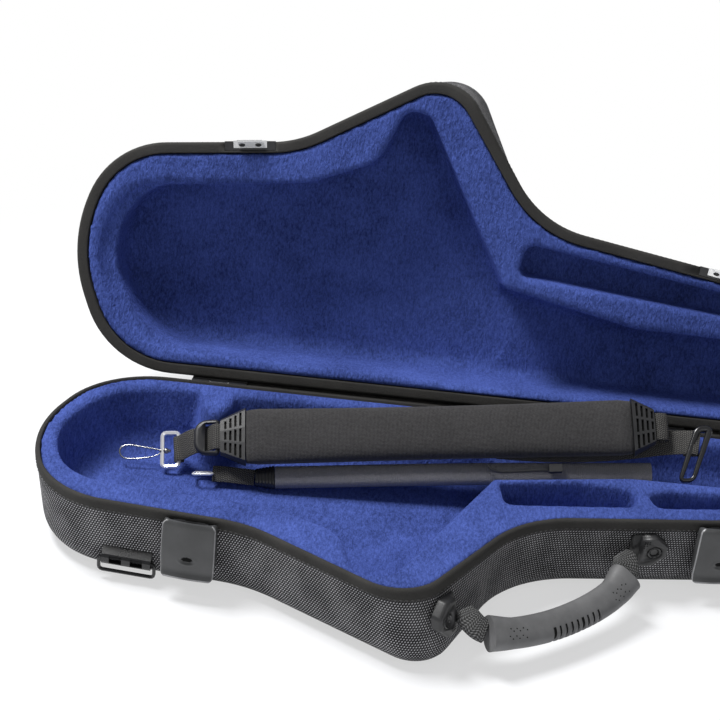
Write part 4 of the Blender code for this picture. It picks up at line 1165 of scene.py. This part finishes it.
def leverPlate(side):
    place, last, columns = frontWall(side), lever["rows"] - 1, lever["columns"]
    middle, wide, high, _ = lever["dimple"]
    stations = smoothRoute([Vector((*spot, 0)) for spot in lever["profile"]], lever["rows"])
    rings = [[place(u, n, case["rim"] + spot.y) for u, n in leverSection(row, spot.x, spot.y)]
             for row, spot in enumerate(stations)]
    piece = fromRings("latchLever" + side.capitalize(), rings, "latch_grey", "lever_" + side, sharp=40)
    for finish in (paintedEdgeHighlight, dotsAndPaintedShade):
        piece.data.materials.append(finish)
    for polygon in piece.data.polygons:
        row, column = divmod(polygon.index, len(rings[0]))
        if row == last or column >= columns:
            continue
        u, z = lever["half"] * ((2 * column + 1) / columns - 1), (stations[row].y + stations[row + 1].y) / 2
        # the side columns and the bottom rows take the painted edge highlight
        if column in (0, columns - 1) or row > last - 3:
            polygon.material_index = 1
        elif math.hypot(u / (wide * 0.74), (z - middle - 0.3) / (high * 0.6)) < 1:  # slit in the dimple, painted near-black as its shade rather than cut
            polygon.material_index = 2
    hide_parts("latch_lever_" + side)


keeper = {"shift": 2.0, "notch": ((-22.3, -6.8, -1.7), (22.3, 7.2, 3.9))}


def keeperNotch(side):  # room in the lid's band for the catch plate
    wall = frontWall(side, keeper["shift"])
    return block(*keeper["notch"], lambda u, n, down: inLid(*wall(u, n, 0).xy, down))


for side in ("left", "right"):
    leverPlate(side)
cutAway(bpy.data.objects["lidBand"], [keeperNotch(side) for side in ("left", "right")])
print("latches ready")


# Room, light and camera

def room():  # white floor and sky; the floor keeps its shadows near the case
    bm = bmesh.new()
    bmesh.ops.create_grid(bm, x_segments=1, y_segments=1, size=12.0)
    floor = Finish("paleFloor", Roughness=0.9, Base_Color=(0.86, 0.87, 0.90, 1.0))
    far = floor.add("ShaderNodeVectorMath", {"operation": "LENGTH"}, [floor.place()], "Value").step(0.35, 0.75)
    floor.whiteTo(floor.rays("Camera", "Glossy", "Transmission") * (0.58 + far * 0.42),
                  "ShaderNodeEmission", "Material Output")
    finished("floor", bm, floor.material)
    sky = Finish("sky", bpy.data.worlds.new("studio"), Color=(0.96, 0.98, 1.0, 1.0), Strength=0.26)
    sky.whiteTo(sky.rays("Camera", "Transmission"), "ShaderNodeBackground", "World Output")
    bpy.context.scene.world = sky.material


def lamp(name, place, target, size, watts):
    light = bpy.data.lights.new(name, "AREA")
    light.shape, light.size, light.energy = "DISK", size, watts
    holder = bpy.data.objects.new(name, light)
    aim = (Vector(target) - Vector(place)).to_track_quat("-Z", "Y")
    holder.matrix_world = Matrix.Translation(place) @ aim.to_matrix().to_4x4()
    bpy.context.scene.collection.objects.link(holder)


view = {"place": (-0.0683, -1.1853, 0.8193), "tilt": 28.87, "roll": 6.03, "lens": 84.456}


def camera():
    tilt, roll = math.radians(view["tilt"]), math.radians(view["roll"])
    ahead = Vector((0, math.cos(tilt), -math.sin(tilt)))
    right = Vector((1, 0, 0))
    up = right.cross(ahead)
    side = right * math.cos(roll) + up * math.sin(roll)
    top = up * math.cos(roll) - right * math.sin(roll)
    data = bpy.data.cameras.new("camera")
    data.lens, data.sensor_width, data.clip_start = view["lens"], 36.0, 0.01
    holder = bpy.data.objects.new("camera", data)
    holder.matrix_world = Matrix.Translation(view["place"]) @ Matrix((side, top, -ahead)).transposed().to_4x4()
    bpy.context.scene.collection.objects.link(holder)
    bpy.context.scene.camera = holder


room()
lamp("key", (-0.90, 0.08, 1.85), (-0.05, 0.05, 0.10), 0.7, 52.0)
lamp("fill", (0.5, -1.7, 1.1), (0.0, 0.0, 0.1), 1.2, 4.0)
camera()
bpy.context.scene.view_settings.view_transform = "Standard"
print("room ready")

bpy.context.view_layer.update()
